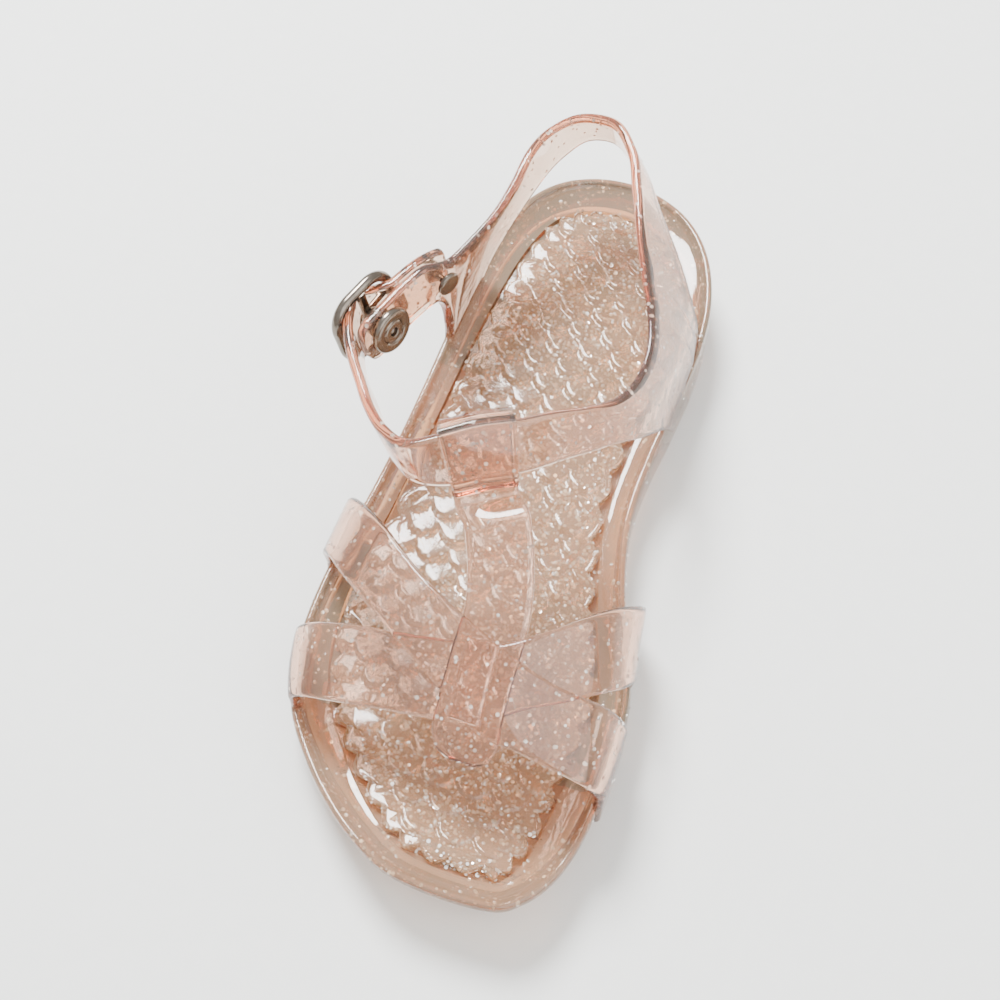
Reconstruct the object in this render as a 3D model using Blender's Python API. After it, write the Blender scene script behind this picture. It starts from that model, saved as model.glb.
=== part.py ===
"""A small child's jelly sandal, for the right foot, in clear peach vinyl.

Metres, +Z up, toe at -Y, heel at +Y, inner (big toe) side at +X. The sandal stands on Z = 0.
"""

import math

import bmesh
import bpy
import numpy as np
from mathutils import Matrix, Vector

# Sole
SOLE_LENGTH = 0.1626
BALL_WIDTH = 0.0655
HEEL_WIDTH = 0.0520
FOREFOOT_HEIGHT = 0.0105  # floor to rim at the ball
HEEL_HEIGHT = 0.0165  # floor to rim at the heel
TOE_SPRING = 0.0045
ARCH_RISE = 0.0022
SIDE_FLARE = 0.0005  # how far the wall swells past the rim
SOLE_EDGE = 0.0012  # eased corner round the tread
TOE_TUCK = 0.0046  # how far the tread draws in under the toe
LIP_WIDTH = 0.0016
LIP_HEIGHT = 0.0007
BORDER_WIDTH = 0.0042  # smooth slope inside the lip, at the waist
BORDER_DEPTH = 0.0022
TREAD_WIDTH = 0.0022
TREAD_DEPTH = 0.0008
TREAD_PITCH = 0.0085
TREAD_MARGIN = 0.0065

# Footbed
FOOTBED_THICKNESS = 0.0018
FOOTBED_TOP = 0.0010  # its top below the rim
SCALLOP_DEPTH = 0.0017
SCALLOPS_A_SIDE = 26

# Straps
STRAP_THICKNESS = 0.0020
VAMP_STRAP_WIDTH = 0.0140
ANKLE_STRAP_WIDTH = 0.0105
BAR_WIDTH = 0.0122  # the bar from the toes up to the loop
KEEPER_WIDTH = 0.0062
CROSSING_STEP = 0.0008  # how far one strap stands above the other where they cross
INSTEP_HEIGHT = 0.0430  # floor to the top of the bar
ANKLE_HEIGHT = 0.0455  # floor to the top edge of the heel strap
BELLY_RISE = 0.0050  # rim to the widest place of the front straps
ROOT_HEIGHT = 0.0040  # floor to the lower end of a strap's root
ROOT_SINK = 0.0009  # how far a root's middle lies inside the sole's wall
ROOM_REACH = 0.0040  # how far the room for a root runs out of the sole
ROOM_SPREAD = 0.00075  # how much wider a quarter's room is, before and behind it
LOOP_WALL = 0.0016
LOOP_LENGTH = 0.0127  # along the ankle strap
LOOP_EASE = 0.0010  # cut off the loop's corners
BAR_APPROACH = 0.0028  # straight end of the bar below the loop
KNEE_HEIGHT = 0.0180  # above a quarter's lower end, where its curve leaves the wall

# Buckle
BUCKLE_LENGTH = 0.0170  # along the strap
BUCKLE_WIDTH = 0.0172
BUCKLE_CORNER = 0.0050
FRAME_WIRE = 0.0022
BAR_WIRE = 0.0020
BAR_SINK = 0.0006  # the centre bar's middle below the frame's
TAB_DEPTH = 0.0047  # the tab's middle below the frame's
SLOT_REACH = 0.0043  # from the bar to the far end of the prong's slot
PRONG_WIRE = 0.0014
RIVET_DIAMETER = 0.0095
RIVET_THICKNESS = 0.0015
SHANK_DIAMETER = 0.0030
BOSS_DIAMETER = 0.0060
STUD_DIAMETER = 0.0044
STUD_HEIGHT = 0.0016
STUD_RIM = 0.0004
STUD_SHANK = 0.0016
NUB_DIAMETER = 0.0050
NUB_THICKNESS = 0.0009

GAP = 0.0003  # between pieces that touch
TAIL_LIFT = 0.0005  # between the tab and the strap's tail over it

# Outline of the rim. Widths are shares of the ball's half width (heel 0) or the heel's (heel 1).
OUTLINE = np.array(
    [
        # along, inner, outer, heel
        (0.000, 0.340, -0.340, 0.0),
        (0.004, 0.625, -0.080, 0.0),
        (0.025, 0.810, 0.180, 0.0),
        (0.055, 0.915, 0.400, 0.0),
        (0.100, 0.990, 0.640, 0.0),
        (0.155, 1.025, 0.850, 0.0),
        (0.230, 1.035, 0.965, 0.0),
        (0.300, 1.005, 0.990, 0.0),
        (0.370, 0.880, 0.975, 0.0),
        (0.440, 0.760, 0.930, 0.0),
        (0.520, 0.680, 0.895, 0.0),
        (0.600, 0.685, 0.872, 0.0),
        (0.680, 0.912, 1.080, 1.0),
        (0.760, 0.950, 1.065, 1.0),
        (0.830, 0.930, 1.035, 1.0),
        (0.890, 0.835, 0.965, 1.0),
        (0.940, 0.665, 0.835, 1.0),
        (0.975, 0.430, 0.625, 1.0),
        (0.993, 0.180, 0.385, 1.0),
        (1.000, -0.090, 0.090, 1.0),
    ]
)

# Heights along the sole, as shares of TOE_SPRING, ARCH_RISE and the step from forefoot to heel.
PROFILE = np.array(
    [
        # along, spring, arch, heel
        (0.00, 1.00, 0.0, -0.05),
        (0.08, 0.45, 0.0, 0.00),
        (0.18, 0.00, 0.0, 0.00),
        (0.40, 0.00, 0.0, 0.06),
        (0.55, 0.00, 1.0, 0.35),
        (0.68, 0.00, 0.0, 0.72),
        (0.85, 0.00, 0.0, 0.95),
        (0.97, 0.00, 0.0, 1.05),
        (1.00, 0.00, 0.4, 1.08),
    ]
)

# Width of the smooth border and tuck of the wall, as shares of BORDER_WIDTH and TOE_TUCK.
BORDER = np.array(
    [
        # along, width, tuck
        (0.00, 0.80, 1.0),
        (0.05, 1.10, 0.9),
        (0.14, 1.35, 0.4),
        (0.30, 1.00, 0.0),
        (0.65, 0.90, 0.0),
        (0.85, 1.30, 0.0),
        (1.00, 1.50, 0.1),
    ]
)

# Ridge of the last over the forefoot. Height is a share of the way from the rim to INSTEP_HEIGHT, side a
# share of half the ball's width, and the bulges how far straps stand off the wall, in STRAP_THICKNESS.
RIDGE = np.array(
    [
        # along (from the middle), height, side, inner bulge, outer bulge
        (-0.37, 0.400, 0.24, 0.0, -0.20),
        (-0.33, 0.580, 0.22, 0.0, -0.25),
        (-0.29, 0.665, 0.20, 0.0, -0.25),
        (-0.24, 0.730, 0.18, 0.0, -0.30),
        (-0.18, 0.810, 0.14, 0.4, -0.40),
        (-0.12, 0.910, 0.06, 1.5, -0.35),
        (-0.07, 1.000, -0.02, 2.3, -0.10),
    ]
)

# Front straps. Turn is the share of the way round the last, from the outer root (-1) over the ridge (0)
# to the inner root (1). Middle is a share of the length, width a share of VAMP_STRAP_WIDTH.
OUTER_TO_FRONT = np.array(
    [
        # turn, middle, width
        (-1.00, -0.127, 0.89),
        (-0.75, -0.131, 0.84),
        (-0.58, -0.143, 0.89),
        (-0.37, -0.184, 1.00),
        (-0.15, -0.246, 0.95),
        (0.03, -0.289, 1.05),
        (0.22, -0.301, 0.92),
        (0.52, -0.300, 1.03),
        (0.75, -0.300, 1.07),
        (1.00, -0.301, 1.10),
    ]
)
FRONT_TO_INNER = np.array(
    [
        # turn, middle, width
        (-1.00, -0.305, 1.00),
        (-0.75, -0.306, 0.96),
        (-0.37, -0.306, 0.96),
        (-0.15, -0.301, 0.93),
        (-0.05, -0.296, 0.97),
        (0.07, -0.283, 0.98),
        (0.19, -0.255, 1.00),
        (0.31, -0.228, 1.10),
        (0.44, -0.200, 1.14),
        (0.58, -0.175, 1.14),
        (0.75, -0.149, 1.11),
        (1.00, -0.135, 1.20),
    ]
)

# The bar: its middle line, its width, and the heading of its width in degrees from +X.
BAR = np.array(
    [
        # side (of half the ball), along (from the middle), width (of BAR_WIDTH), heading
        (0.255, -0.366, 0.35, 0.0),
        (0.250, -0.360, 0.75, 0.0),
        (0.243, -0.349, 0.97, 0.0),
        (0.230, -0.320, 1.00, 0.0),
        (0.215, -0.270, 1.00, 0.0),
        (0.205, -0.220, 1.00, 4.0),
        (0.140, -0.165, 1.00, 18.0),
        (0.050, -0.122, 1.00, 30.0),
    ]
)
KEEPER_ENDS = (-0.330, -0.248)  # along, from the middle

# The tab under the buckle, from its rounded end.
TAB = np.array(
    [
        # along (of BUCKLE_LENGTH, from its middle), width (of the strap's), depth (of TAB_DEPTH)
        (-0.370, 0.40, 1.02),
        (-0.335, 0.72, 1.02),
        (-0.260, 0.95, 1.00),
        (-0.118, 1.00, 1.00),
        (0.147, 1.00, 1.00),
        (0.441, 1.00, 1.02),
        (0.735, 1.00, 1.19),
    ]
)

# The ring strap from the tab round the heel and over the instep. Each row is one section: its top edge,
# the lean of its width, how far it reaches down to the sole (1 is right into the wall), and where.
RING = np.array(
    [
        # side (of half the heel), along (from the middle), height (of ANKLE_HEIGHT), lean x, y, reach, root
        (-1.015, 0.182, 0.945, 0.24, 0.04, 0.45, 0.172),
        (-0.895, 0.226, 0.955, 0.20, 0.08, 1.00, 0.196),
        (-0.800, 0.272, 0.968, 0.14, 0.16, 1.00, 0.262),
        (-0.755, 0.318, 0.985, 0.12, 0.20, 0.30, 0.284),
        (-0.740, 0.362, 1.000, 0.16, 0.14, 0.00, 0.284),
        (-0.655, 0.405, 1.000, 0.20, 0.24, 0.00, 0.284),
        (-0.460, 0.438, 1.000, 0.10, 0.33, 0.00, 0.284),
        (-0.215, 0.443, 1.000, 0.00, 0.36, 0.00, 0.284),
        (-0.010, 0.412, 0.990, 0.12, 0.40, 0.00, 0.290),
        (0.130, 0.360, 0.970, 0.38, 0.36, 0.00, 0.290),
        (0.250, 0.308, 0.945, 0.52, 0.32, 0.26, 0.290),
        (0.395, 0.254, 0.915, 0.46, 0.30, 1.00, 0.280),
        (0.535, 0.209, 0.880, 0.40, 0.20, 1.00, 0.256),
        (0.625, 0.165, 0.865, 0.40, 0.10, 1.00, 0.205),
        (0.640, 0.118, 0.870, 0.42, 0.02, 0.95, 0.180),
        (0.560, 0.072, 0.905, 0.46, -0.06, 0.28, 0.180),
        (0.385, 0.038, 0.975, 0.46, -0.16, 0.00, 0.180),
        (0.180, 0.006, 1.050, 0.38, -0.36, 0.00, 0.180),
        (-0.023, -0.022, 1.085, 0.34, -0.50, 0.00, 0.180),
        (-0.270, -0.045, 1.097, 0.33, -0.55, 0.00, 0.180),
        (-0.500, -0.070, 1.090, 0.30, -0.48, 0.00, 0.180),
        (-0.700, -0.086, 1.070, 0.28, -0.22, 0.00, 0.180),
        (-0.905, -0.074, 1.040, 0.24, -0.02, 0.00, 0.180),
        (-1.085, -0.047, 1.010, 0.22, 0.04, 0.00, 0.180),
        (-1.240, -0.014, 0.990, 0.20, 0.04, 0.00, 0.180),
        (-1.370, 0.015, 0.975, 0.18, 0.00, 0.00, 0.180),
    ]
)
LOOP_ROW = 19  # of RING
TAIL_ROWS = (-0.80, -0.10, 0.20)  # of RING, where the strap's end lies over the tab
TAIL_WIDTHS = (1.00, 0.94, 0.42)
STUD_ROW = -0.30
OUTER_QUARTER = (-0.34, 3.10)  # rows of RING between which a quarter lies in the sole
INNER_QUARTER = (10.20, 15.10)
ROOT_TURNS = (0.70, 1.020)  # turns of the last between which a front strap lies in the sole

# Where the buckle sits: its middle, the way along the strap, and its lean across it.
BUCKLE_MIDDLE = np.array([-0.730 * HEEL_WIDTH, 0.092 * SOLE_LENGTH, 0.845 * ANKLE_HEIGHT])
BUCKLE_ALONG = np.array([0.33, 0.94, 0.05])
BUCKLE_LEAN = np.array([-0.20, 0.0, 1.0])

# Shares of a strap's width at which its section has points, close together at the eased edges.
ACROSS = np.array([0.0, 0.05, 0.22, 0.40, 0.60, 0.78, 0.95, 1.0])

COLOURS = {
    # red, green, blue, roughness, metallic
    "clear_peach": (0.86, 0.60, 0.50, 0.15, 0.0),
    "glitter_peach": (0.88, 0.70, 0.62, 0.25, 0.0),
    "nickel": (0.30, 0.28, 0.25, 0.28, 1.0),
}


def collection(name):
    made = bpy.data.collections.new(name)
    bpy.context.scene.collection.children.link(made)
    return made


def material(name):
    red, green, blue, roughness, metallic = COLOURS[name]
    made = bpy.data.materials.get(name) or bpy.data.materials.new(name)
    made.use_nodes = True
    shader = made.node_tree.nodes["Principled BSDF"]
    shader.inputs["Base Color"].default_value = (red, green, blue, 1.0)
    shader.inputs["Roughness"].default_value = roughness
    shader.inputs["Metallic"].default_value = metallic
    return made


def smooth(knots, values, at, steady=False):
    """Cubic curve through values at knots. With steady, it never swings past a row."""
    knots, values = np.asarray(knots, float), np.asarray(values, float)
    at = np.clip(np.asarray(at, float), knots[0], knots[-1])
    slopes = np.gradient(values, knots, axis=0)
    if steady:
        steps = np.diff(values, axis=0) / np.diff(knots)
        product = steps[:-1] * steps[1:]
        total = steps[:-1] + steps[1:]
        calm = np.divide(2 * product, total, out=np.zeros_like(total), where=product > 0)
        slopes = np.concatenate([[0.0], calm, [0.0]])
    low = np.clip(np.searchsorted(knots, at, side="right") - 1, 0, len(knots) - 2)
    span = knots[low + 1] - knots[low]
    t = (at - knots[low]) / span
    if values.ndim > 1:
        t, span = t[..., None], span[..., None]
    return (
        values[low] * (1 + 2 * t) * (1 - t) ** 2
        + slopes[low] * span * t * (1 - t) ** 2
        + values[low + 1] * (3 - 2 * t) * t**2
        - slopes[low + 1] * span * t**2 * (1 - t)
    )


def unit(vector):
    return vector / np.linalg.norm(vector, axis=-1, keepdims=True)


def new_object(name, points, faces, finish, where):
    mesh = bpy.data.meshes.new(name)
    mesh.from_pydata([tuple(map(float, point)) for point in points], [], faces)
    work = bmesh.new()
    work.from_mesh(mesh)
    bmesh.ops.remove_doubles(work, verts=work.verts, dist=1e-6)
    bmesh.ops.recalc_face_normals(work, faces=work.faces)
    work.to_mesh(mesh)
    work.free()
    mesh.materials.append(material(finish))
    mesh.shade_smooth()
    mesh.set_sharp_from_angle(angle=math.radians(35))
    made = bpy.data.objects.new(name, mesh)
    where.objects.link(made)
    return made


def helper(name, points, faces, finish="clear_peach"):
    made = new_object(name, points, faces, finish, cutters)
    made.hide_render = True
    made.display_type = "WIRE"
    return made


def combine(target, others, operation):
    for other in others:
        step = target.modifiers.new(other.name, "BOOLEAN")
        step.operation = operation
        step.solver = "EXACT"
        step.object = other


# Sole


def share_of(y):
    return np.clip(0.5 + np.asarray(y, float) / SOLE_LENGTH, 0.0, 1.0)


def rim_x(y, side):
    """X of the rim at y, on the inner (side 1) or outer (side -1) side.

    The rows are spaced by the angle whose cosine is the place along, so that toe and heel close roundly.
    """
    half = np.where(OUTLINE[:, 3] > 0.5, HEEL_WIDTH, BALL_WIDTH) / 2
    column = OUTLINE[:, 1] if side > 0 else OUTLINE[:, 2]
    turn = np.arccos(1 - 2 * share_of(y))
    return side * smooth(np.arccos(1 - 2 * OUTLINE[:, 0]), column * half, turn)


def base_z(y):
    spring = smooth(PROFILE[:, 0], PROFILE[:, 1], share_of(y), steady=True)
    arch = smooth(PROFILE[:, 0], PROFILE[:, 2], share_of(y), steady=True)
    return spring * TOE_SPRING + arch * ARCH_RISE


def rim_z(y):
    spring = smooth(PROFILE[:, 0], PROFILE[:, 1], share_of(y), steady=True)
    heel = smooth(PROFILE[:, 0], PROFILE[:, 3], share_of(y))
    return spring * TOE_SPRING + FOREFOOT_HEIGHT + heel * (HEEL_HEIGHT - FOREFOOT_HEIGHT)


def border_width(y):
    return BORDER_WIDTH * smooth(BORDER[:, 0], BORDER[:, 1], share_of(y))


def tuck(y):
    return TOE_TUCK * smooth(BORDER[:, 0], BORDER[:, 2], share_of(y), steady=True)


def outline_ring(a_side):
    """The rim seen from above: inner side from toe to heel, then the outer side back to the toe."""
    y = -np.cos(np.linspace(0, math.pi, a_side + 1)) * SOLE_LENGTH / 2
    inner = np.stack([rim_x(y, 1), y], -1)
    outer = np.stack([rim_x(y, -1), y], -1)
    return np.concatenate([inner, outer[-2:0:-1]])


def inset(ring, distance):
    """The ring moved inwards, square to itself. Its points run counter-clockwise from above."""
    ahead = unit(np.roll(ring, -1, 0) - np.roll(ring, 1, 0))
    inward = np.stack([-ahead[:, 1], ahead[:, 0]], -1)
    return ring + inward * np.reshape(distance, (-1, 1))


def stacked_rings(name, rings, finish, where):
    """A closed solid from rings of equal count. The first and last are closed by strips across."""
    count = len(rings[0])
    top = (len(rings) - 1) * count
    faces = []
    for low in range(0, top, count):
        for i in range(count):
            j = (i + 1) % count
            faces.append((low + i, low + j, low + count + j, low + count + i))
    for i in range(count // 2):
        strip = [i, i + 1, count - i - 1, (count - i) % count]
        strip = list(dict.fromkeys(strip))
        faces.append(strip[::-1])
        faces.append([top + corner for corner in strip])
    return new_object(name, np.concatenate(rings), faces, finish, where)


def sole_rings(a_side=44):
    rim = outline_ring(a_side)
    y = rim[:, 1]
    base, top = base_z(y), rim_z(y)
    slope = border_width(y)
    floor = top - FOOTBED_TOP - FOOTBED_THICKNESS - GAP
    edge = LIP_WIDTH + slope
    levels = [
        # how far inside the rim, height
        (SOLE_EDGE - SIDE_FLARE + tuck(y), base),
        (0.75 * tuck(y) - SIDE_FLARE, base + SOLE_EDGE),
        (0.35 * tuck(y) - SIDE_FLARE, base + 0.45 * (top - base)),
        (-0.3 * SIDE_FLARE, top - SOLE_EDGE),
        (0.0, top - 0.3 * SOLE_EDGE),
        (0.3 * LIP_WIDTH, top),
        (0.7 * LIP_WIDTH, top),
        (LIP_WIDTH, top - LIP_HEIGHT),
        (LIP_WIDTH + 0.45 * slope, top - LIP_HEIGHT - 0.65 * (BORDER_DEPTH - LIP_HEIGHT)),
        (edge, top - BORDER_DEPTH),
        (edge + GAP, floor),
    ]
    return [np.column_stack([inset(rim, distance), height]) for distance, height in levels]


def footbed_rings(a_side=104):
    """The footbed's edge swings in and out in a row of shallow lobes."""
    rim = outline_ring(a_side)
    y = rim[:, 1]
    place = np.arange(len(rim)) / a_side * SCALLOPS_A_SIDE
    lobe = 1 - np.abs(np.sin(math.pi * place))
    edge = LIP_WIDTH + border_width(y) + 2 * GAP + SCALLOP_DEPTH * lobe
    top = rim_z(y) - FOOTBED_TOP
    levels = [
        (edge, top - FOOTBED_THICKNESS),
        (edge, top - 0.3 * FOOTBED_THICKNESS),
        (edge + 0.3 * FOOTBED_THICKNESS, top),
    ]
    return [np.column_stack([inset(rim, distance), height]) for distance, height in levels]


def groove_cutters():
    """Shallow bars across the tread, on the two places where the sole rests."""
    faces = [(0, 1, 2, 3), (4, 7, 6, 5), (0, 4, 5, 1), (1, 5, 6, 2), (2, 6, 7, 3), (3, 7, 4, 0)]
    made = []
    for first, last in ((0.05, 0.42), (0.66, 0.96)):
        y = (first - 0.5) * SOLE_LENGTH
        while y < (last - 0.5) * SOLE_LENGTH:
            near, far = y - TREAD_WIDTH / 2, y + TREAD_WIDTH / 2
            inner = min(rim_x(near, 1), rim_x(far, 1)) - TREAD_MARGIN
            outer = max(rim_x(near, -1), rim_x(far, -1)) + TREAD_MARGIN
            low = [(outer, near), (inner, near), (inner, far), (outer, far)]
            points = [(px, py, -TREAD_DEPTH) for px, py in low]
            points += [(px, py, float(base_z(py)) + TREAD_DEPTH) for px, py in low]
            made.append(helper(f"groove_{len(made)}_{round(last * 100)}", points, faces))
            y += TREAD_PITCH
    return made


# Straps


def normals(grid):
    return unit(np.cross(np.gradient(grid, axis=0), np.gradient(grid, axis=1)))


def closed_between(outer, inner):
    """A closed solid between two surfaces given as grids of points."""
    rows, columns = outer.shape[:2]
    points = np.concatenate([outer, inner]).reshape(-1, 3)
    under = rows * columns
    faces = []
    for i in range(rows - 1):
        for j in range(columns - 1):
            a, b = i * columns + j, (i + 1) * columns + j
            faces.append((a, b, b + 1, a + 1))
            faces.append((under + a, under + a + 1, under + b + 1, under + b))
    edge = [i * columns for i in range(rows)]
    edge += [(rows - 1) * columns + j for j in range(1, columns)]
    edge += [i * columns + columns - 1 for i in range(rows - 2, -1, -1)]
    edge += list(range(columns - 2, 0, -1))
    for a, b in zip(edge, edge[1:] + edge[:1]):
        faces.append((a, a + under, b + under, b))
    return points, faces


def wall_of(grid, thickness, offset=0.0):
    """A closed wall round a middle surface given as a grid of points, with eased long edges."""
    normal = normals(grid)
    half = np.full(grid.shape[:2] + (1,), thickness / 2)
    half[:, [0, -1]] *= 0.5
    middle = grid + normal * offset
    return closed_between(middle + normal * half, middle - normal * half)


ROOT_ANGLE = math.radians(120.0)


def last_section(y):
    """The last at y: ridge x, ridge z, belly z, and the bulge of the straps on the inner and outer side."""
    height, side, inner, outer = (
        smooth(RIDGE[:, 0], RIDGE[:, k], y / SOLE_LENGTH) for k in (1, 2, 3, 4)
    )
    rim = rim_z(y)
    ridge_z = rim + height * (INSTEP_HEIGHT - rim)
    belly_z = rim + BELLY_RISE
    return side * BALL_WIDTH / 2, ridge_z, belly_z, inner * STRAP_THICKNESS, outer * STRAP_THICKNESS


def last_point(turn, y):
    """A point of the last over the forefoot, where turn runs ROOT_ANGLE either way from the ridge."""
    turn, y = np.broadcast_arrays(np.asarray(turn, float), np.asarray(y, float))
    ridge_x, ridge_z, belly_z, inner, outer = last_section(y)
    stand = SIDE_FLARE - ROOT_SINK
    wall = np.where(turn > 0, rim_x(y, 1) + stand, rim_x(y, -1) - stand)
    belly_x = wall + np.where(turn > 0, inner, -outer)
    sine, cosine = np.abs(np.sin(ROOT_ANGLE * turn)), np.cos(ROOT_ANGLE * turn)
    root_sine, root_cosine = math.sin(ROOT_ANGLE), math.cos(ROOT_ANGLE)
    tucked = belly_x - (belly_x - wall) * (1 - sine) / (1 - root_sine)
    x = np.where(cosine < 0, tucked, ridge_x + (belly_x - ridge_x) * sine)
    drop = belly_z - ROOT_HEIGHT - base_z(y)
    z = np.where(cosine < 0, belly_z - drop * cosine / root_cosine, belly_z + (ridge_z - belly_z) * cosine)
    return np.stack([x, y, z], -1)


def over_last(x, y):
    """A point of the last above the belly, from its x and y."""
    ridge_x, ridge_z, belly_z, inner, outer = last_section(y)
    reach = np.where(x > ridge_x, rim_x(y, 1) + inner, rim_x(y, -1) - outer) - ridge_x
    share = np.clip((x - ridge_x) / reach, 0.0, 0.95)
    return np.stack([x, y, belly_z + (ridge_z - belly_z) * np.sqrt(1 - share**2)], -1)


def front_strap(table, first=-1.0, last=1.0, stations=45, widen=0.0):
    """The middle surface of a front strap, between two turns of the last."""
    turn = np.linspace(first, last, stations)
    middle = smooth(table[:, 0], table[:, 1], turn) * SOLE_LENGTH
    half = smooth(table[:, 0], table[:, 2], turn) * VAMP_STRAP_WIDTH / 2 + widen
    return last_point(turn[:, None], middle[:, None] + half[:, None] * (2 * ACROSS - 1))


def room_for(name, grid, offset=0.0):
    """The room in the sole for a strap's wall, open to the outside of the sole."""
    normal = normals(grid)
    outward = unit(normal.mean(axis=(0, 1)))
    inside = grid + normal * (offset - STRAP_THICKNESS / 2 - GAP)
    return helper(name, *closed_between(grid + outward * ROOM_REACH, inside))


def root_cutters(name, table, offset):
    """The room that a front strap's two roots take in the sole's wall."""
    made = []
    for side, label in ((-1.0, "outer"), (1.0, "inner")):
        ends = sorted(side * turn for turn in ROOT_TURNS)
        grid = front_strap(table, *ends, stations=13, widen=GAP)
        made.append(room_for(f"{name}_{label}", grid, offset))
    return made


def buckle_axes():
    along = unit(BUCKLE_ALONG)
    up = unit(BUCKLE_LEAN - along * (BUCKLE_LEAN @ along))
    return along, up, np.cross(up, along)


def at_buckle(u, v, w):
    along, up, out = buckle_axes()
    return BUCKLE_MIDDLE + along * u + up * v + out * w


def threaded_path():
    """Middle line of the strap through the frame, along and out: over the bar, then under the far side.

    It is an arc round the bar and one round the frame's wire, joined by the straight line that touches both.
    It comes in under the near side along the same slope.
    """
    wire_u = (BUCKLE_LENGTH - FRAME_WIRE) / 2
    round_wire = FRAME_WIRE / 2 + STRAP_THICKNESS / 2 + GAP
    round_bar = BAR_WIRE / 2 + STRAP_THICKNESS / 2 + GAP
    apart = math.hypot(wire_u, BAR_SINK)
    slope = math.asin((round_wire + round_bar) / apart) - math.atan2(BAR_SINK, wire_u)
    turns = np.linspace(0.0, slope, 4)
    under = [(-wire_u + round_wire * math.sin(t), -round_wire * math.cos(t)) for t in turns]
    crown = [(-round_bar * math.sin(t), round_bar * math.cos(t) - BAR_SINK) for t in turns[::-1]]
    far = [(-u, w) for u, w in (under + crown)[-2::-1]]
    return np.array(under[-1:] + crown + far)


def distances(points):
    """How far along a line of points each one lies."""
    return np.concatenate([[0.0], np.cumsum(np.linalg.norm(np.diff(points, axis=0), axis=1))])


def sections(rows, at, across, sink=0.0):
    """Points of the ring strap's middle surface at fractional rows, across its width.

    A row is its top edge, its lower edge, the root below it and how far it reaches down to that root. On
    its way down the lower edge first goes aside, so that it comes over the sole's wall from outside.
    """
    tops, lows, root, reach = rows
    index = np.arange(len(tops))
    root = root + np.array([0, 0, -sink])
    knots = distances((tops + lows) / 2)
    place = np.interp(at, index, knots)
    top, low = smooth(knots, tops, place), smooth(knots, lows, place)
    foot = np.stack([np.interp(at, index, root[:, k]) for k in range(3)], -1)
    down = np.clip(smooth(index, reach, at, steady=True), 0, 1)
    aside = 1 - (1 - down) ** 2
    share = np.stack([aside, down, down], -1)
    knee = foot + np.array([0, 0, KNEE_HEIGHT])
    middle = (top + low) / 2
    control = (middle + (knee - middle) * down[:, None])[:, None]
    foot = (low + (foot - low) * share)[:, None]
    w = across[None, :, None]
    return (1 - w) ** 2 * top[:, None] + 2 * w * (1 - w) * control + w**2 * foot


def strap_frame(rows, row):
    """Middle of the strap at a fractional row, with the ways along, up and out."""
    middles = []
    for place in sections(rows, np.array([row - 0.03, row, row + 0.03]), np.linspace(0, 1, 61)):
        run = distances(place)
        down = ANKLE_STRAP_WIDTH * np.array([0.0, 0.5, 1.0])
        middles.append(np.stack([np.interp(down, run, place[:, k]) for k in range(3)], -1))
    before, here, after = middles
    along = unit(after[1] - before[1])
    up = here[0] - here[2]
    up = unit(up - along * (up @ along))
    return here[1], along, up, np.cross(up, along)


def tail_lift(rows, row):
    """How far out of the tab's middle the tail's middle lies, so that it clears the tab's curve."""
    middle, _, _, out = strap_frame(rows, row)
    place = sections(rows, np.array([row]), np.linspace(0, 1, 61))[0]
    covered = place[distances(place) < ANKLE_STRAP_WIDTH]
    return ((covered - middle) @ out).max() + STRAP_THICKNESS + TAIL_LIFT


def base_rows():
    """The rows from the tab's end, round the heel and over the instep, to just before the buckle."""
    half = ANKLE_STRAP_WIDTH / 2
    shape = TAB * np.array([BUCKLE_LENGTH, half, -TAB_DEPTH])
    tab_top = np.array([at_buckle(u, v, w) for u, v, w in shape])
    tab_low = np.array([at_buckle(u, -v, w) for u, v, w in shape])
    top = RING[:, :3] * np.array([HEEL_WIDTH / 2, SOLE_LENGTH, ANKLE_HEIGHT])
    hang = np.column_stack([RING[:, 3:5], -np.sqrt(1 - (RING[:, 3:5] ** 2).sum(1))])
    low = top + hang * ANKLE_STRAP_WIDTH
    root_y = RING[:, 6] * SOLE_LENGTH
    stand = SIDE_FLARE - ROOT_SINK
    wall = np.where(np.arange(len(RING)) < 8, rim_x(root_y, -1) - stand, rim_x(root_y, 1) + stand)
    root = np.column_stack([wall, root_y, ROOT_HEIGHT + base_z(root_y)])
    root = np.concatenate([np.repeat(root[:1], len(TAB), 0), root])
    reach = np.concatenate([np.zeros(len(TAB)), RING[:, 5]])
    return np.concatenate([tab_top, top]), np.concatenate([tab_low, low]), root, reach


def ring_rows():
    """The rows of the whole strap: the base rows, those through the buckle, and the tail over the tab."""
    base = base_rows()
    half = ANKLE_STRAP_WIDTH / 2
    tops = [at_buckle(u, half, w) for u, w in threaded_path()]
    lows = [at_buckle(u, -half, w) for u, w in threaded_path()]
    for row, share in zip(TAIL_ROWS, TAIL_WIDTHS):
        middle, _, up, out = strap_frame(base, len(TAB) + row)
        middle = middle + out * tail_lift(base, len(TAB) + row)
        tops.append(middle + up * half * share)
        lows.append(middle - up * half * share)
    tops, lows = np.concatenate([base[0], tops]), np.concatenate([base[1], lows])
    extra = len(tops) - len(base[0])
    root = np.concatenate([base[2], np.repeat(base[2][-1:], extra, 0)])
    return tops, lows, root, np.concatenate([base[3], np.zeros(extra)])


def ring_frame(row):
    return strap_frame(ring_rows(), row)


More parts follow.
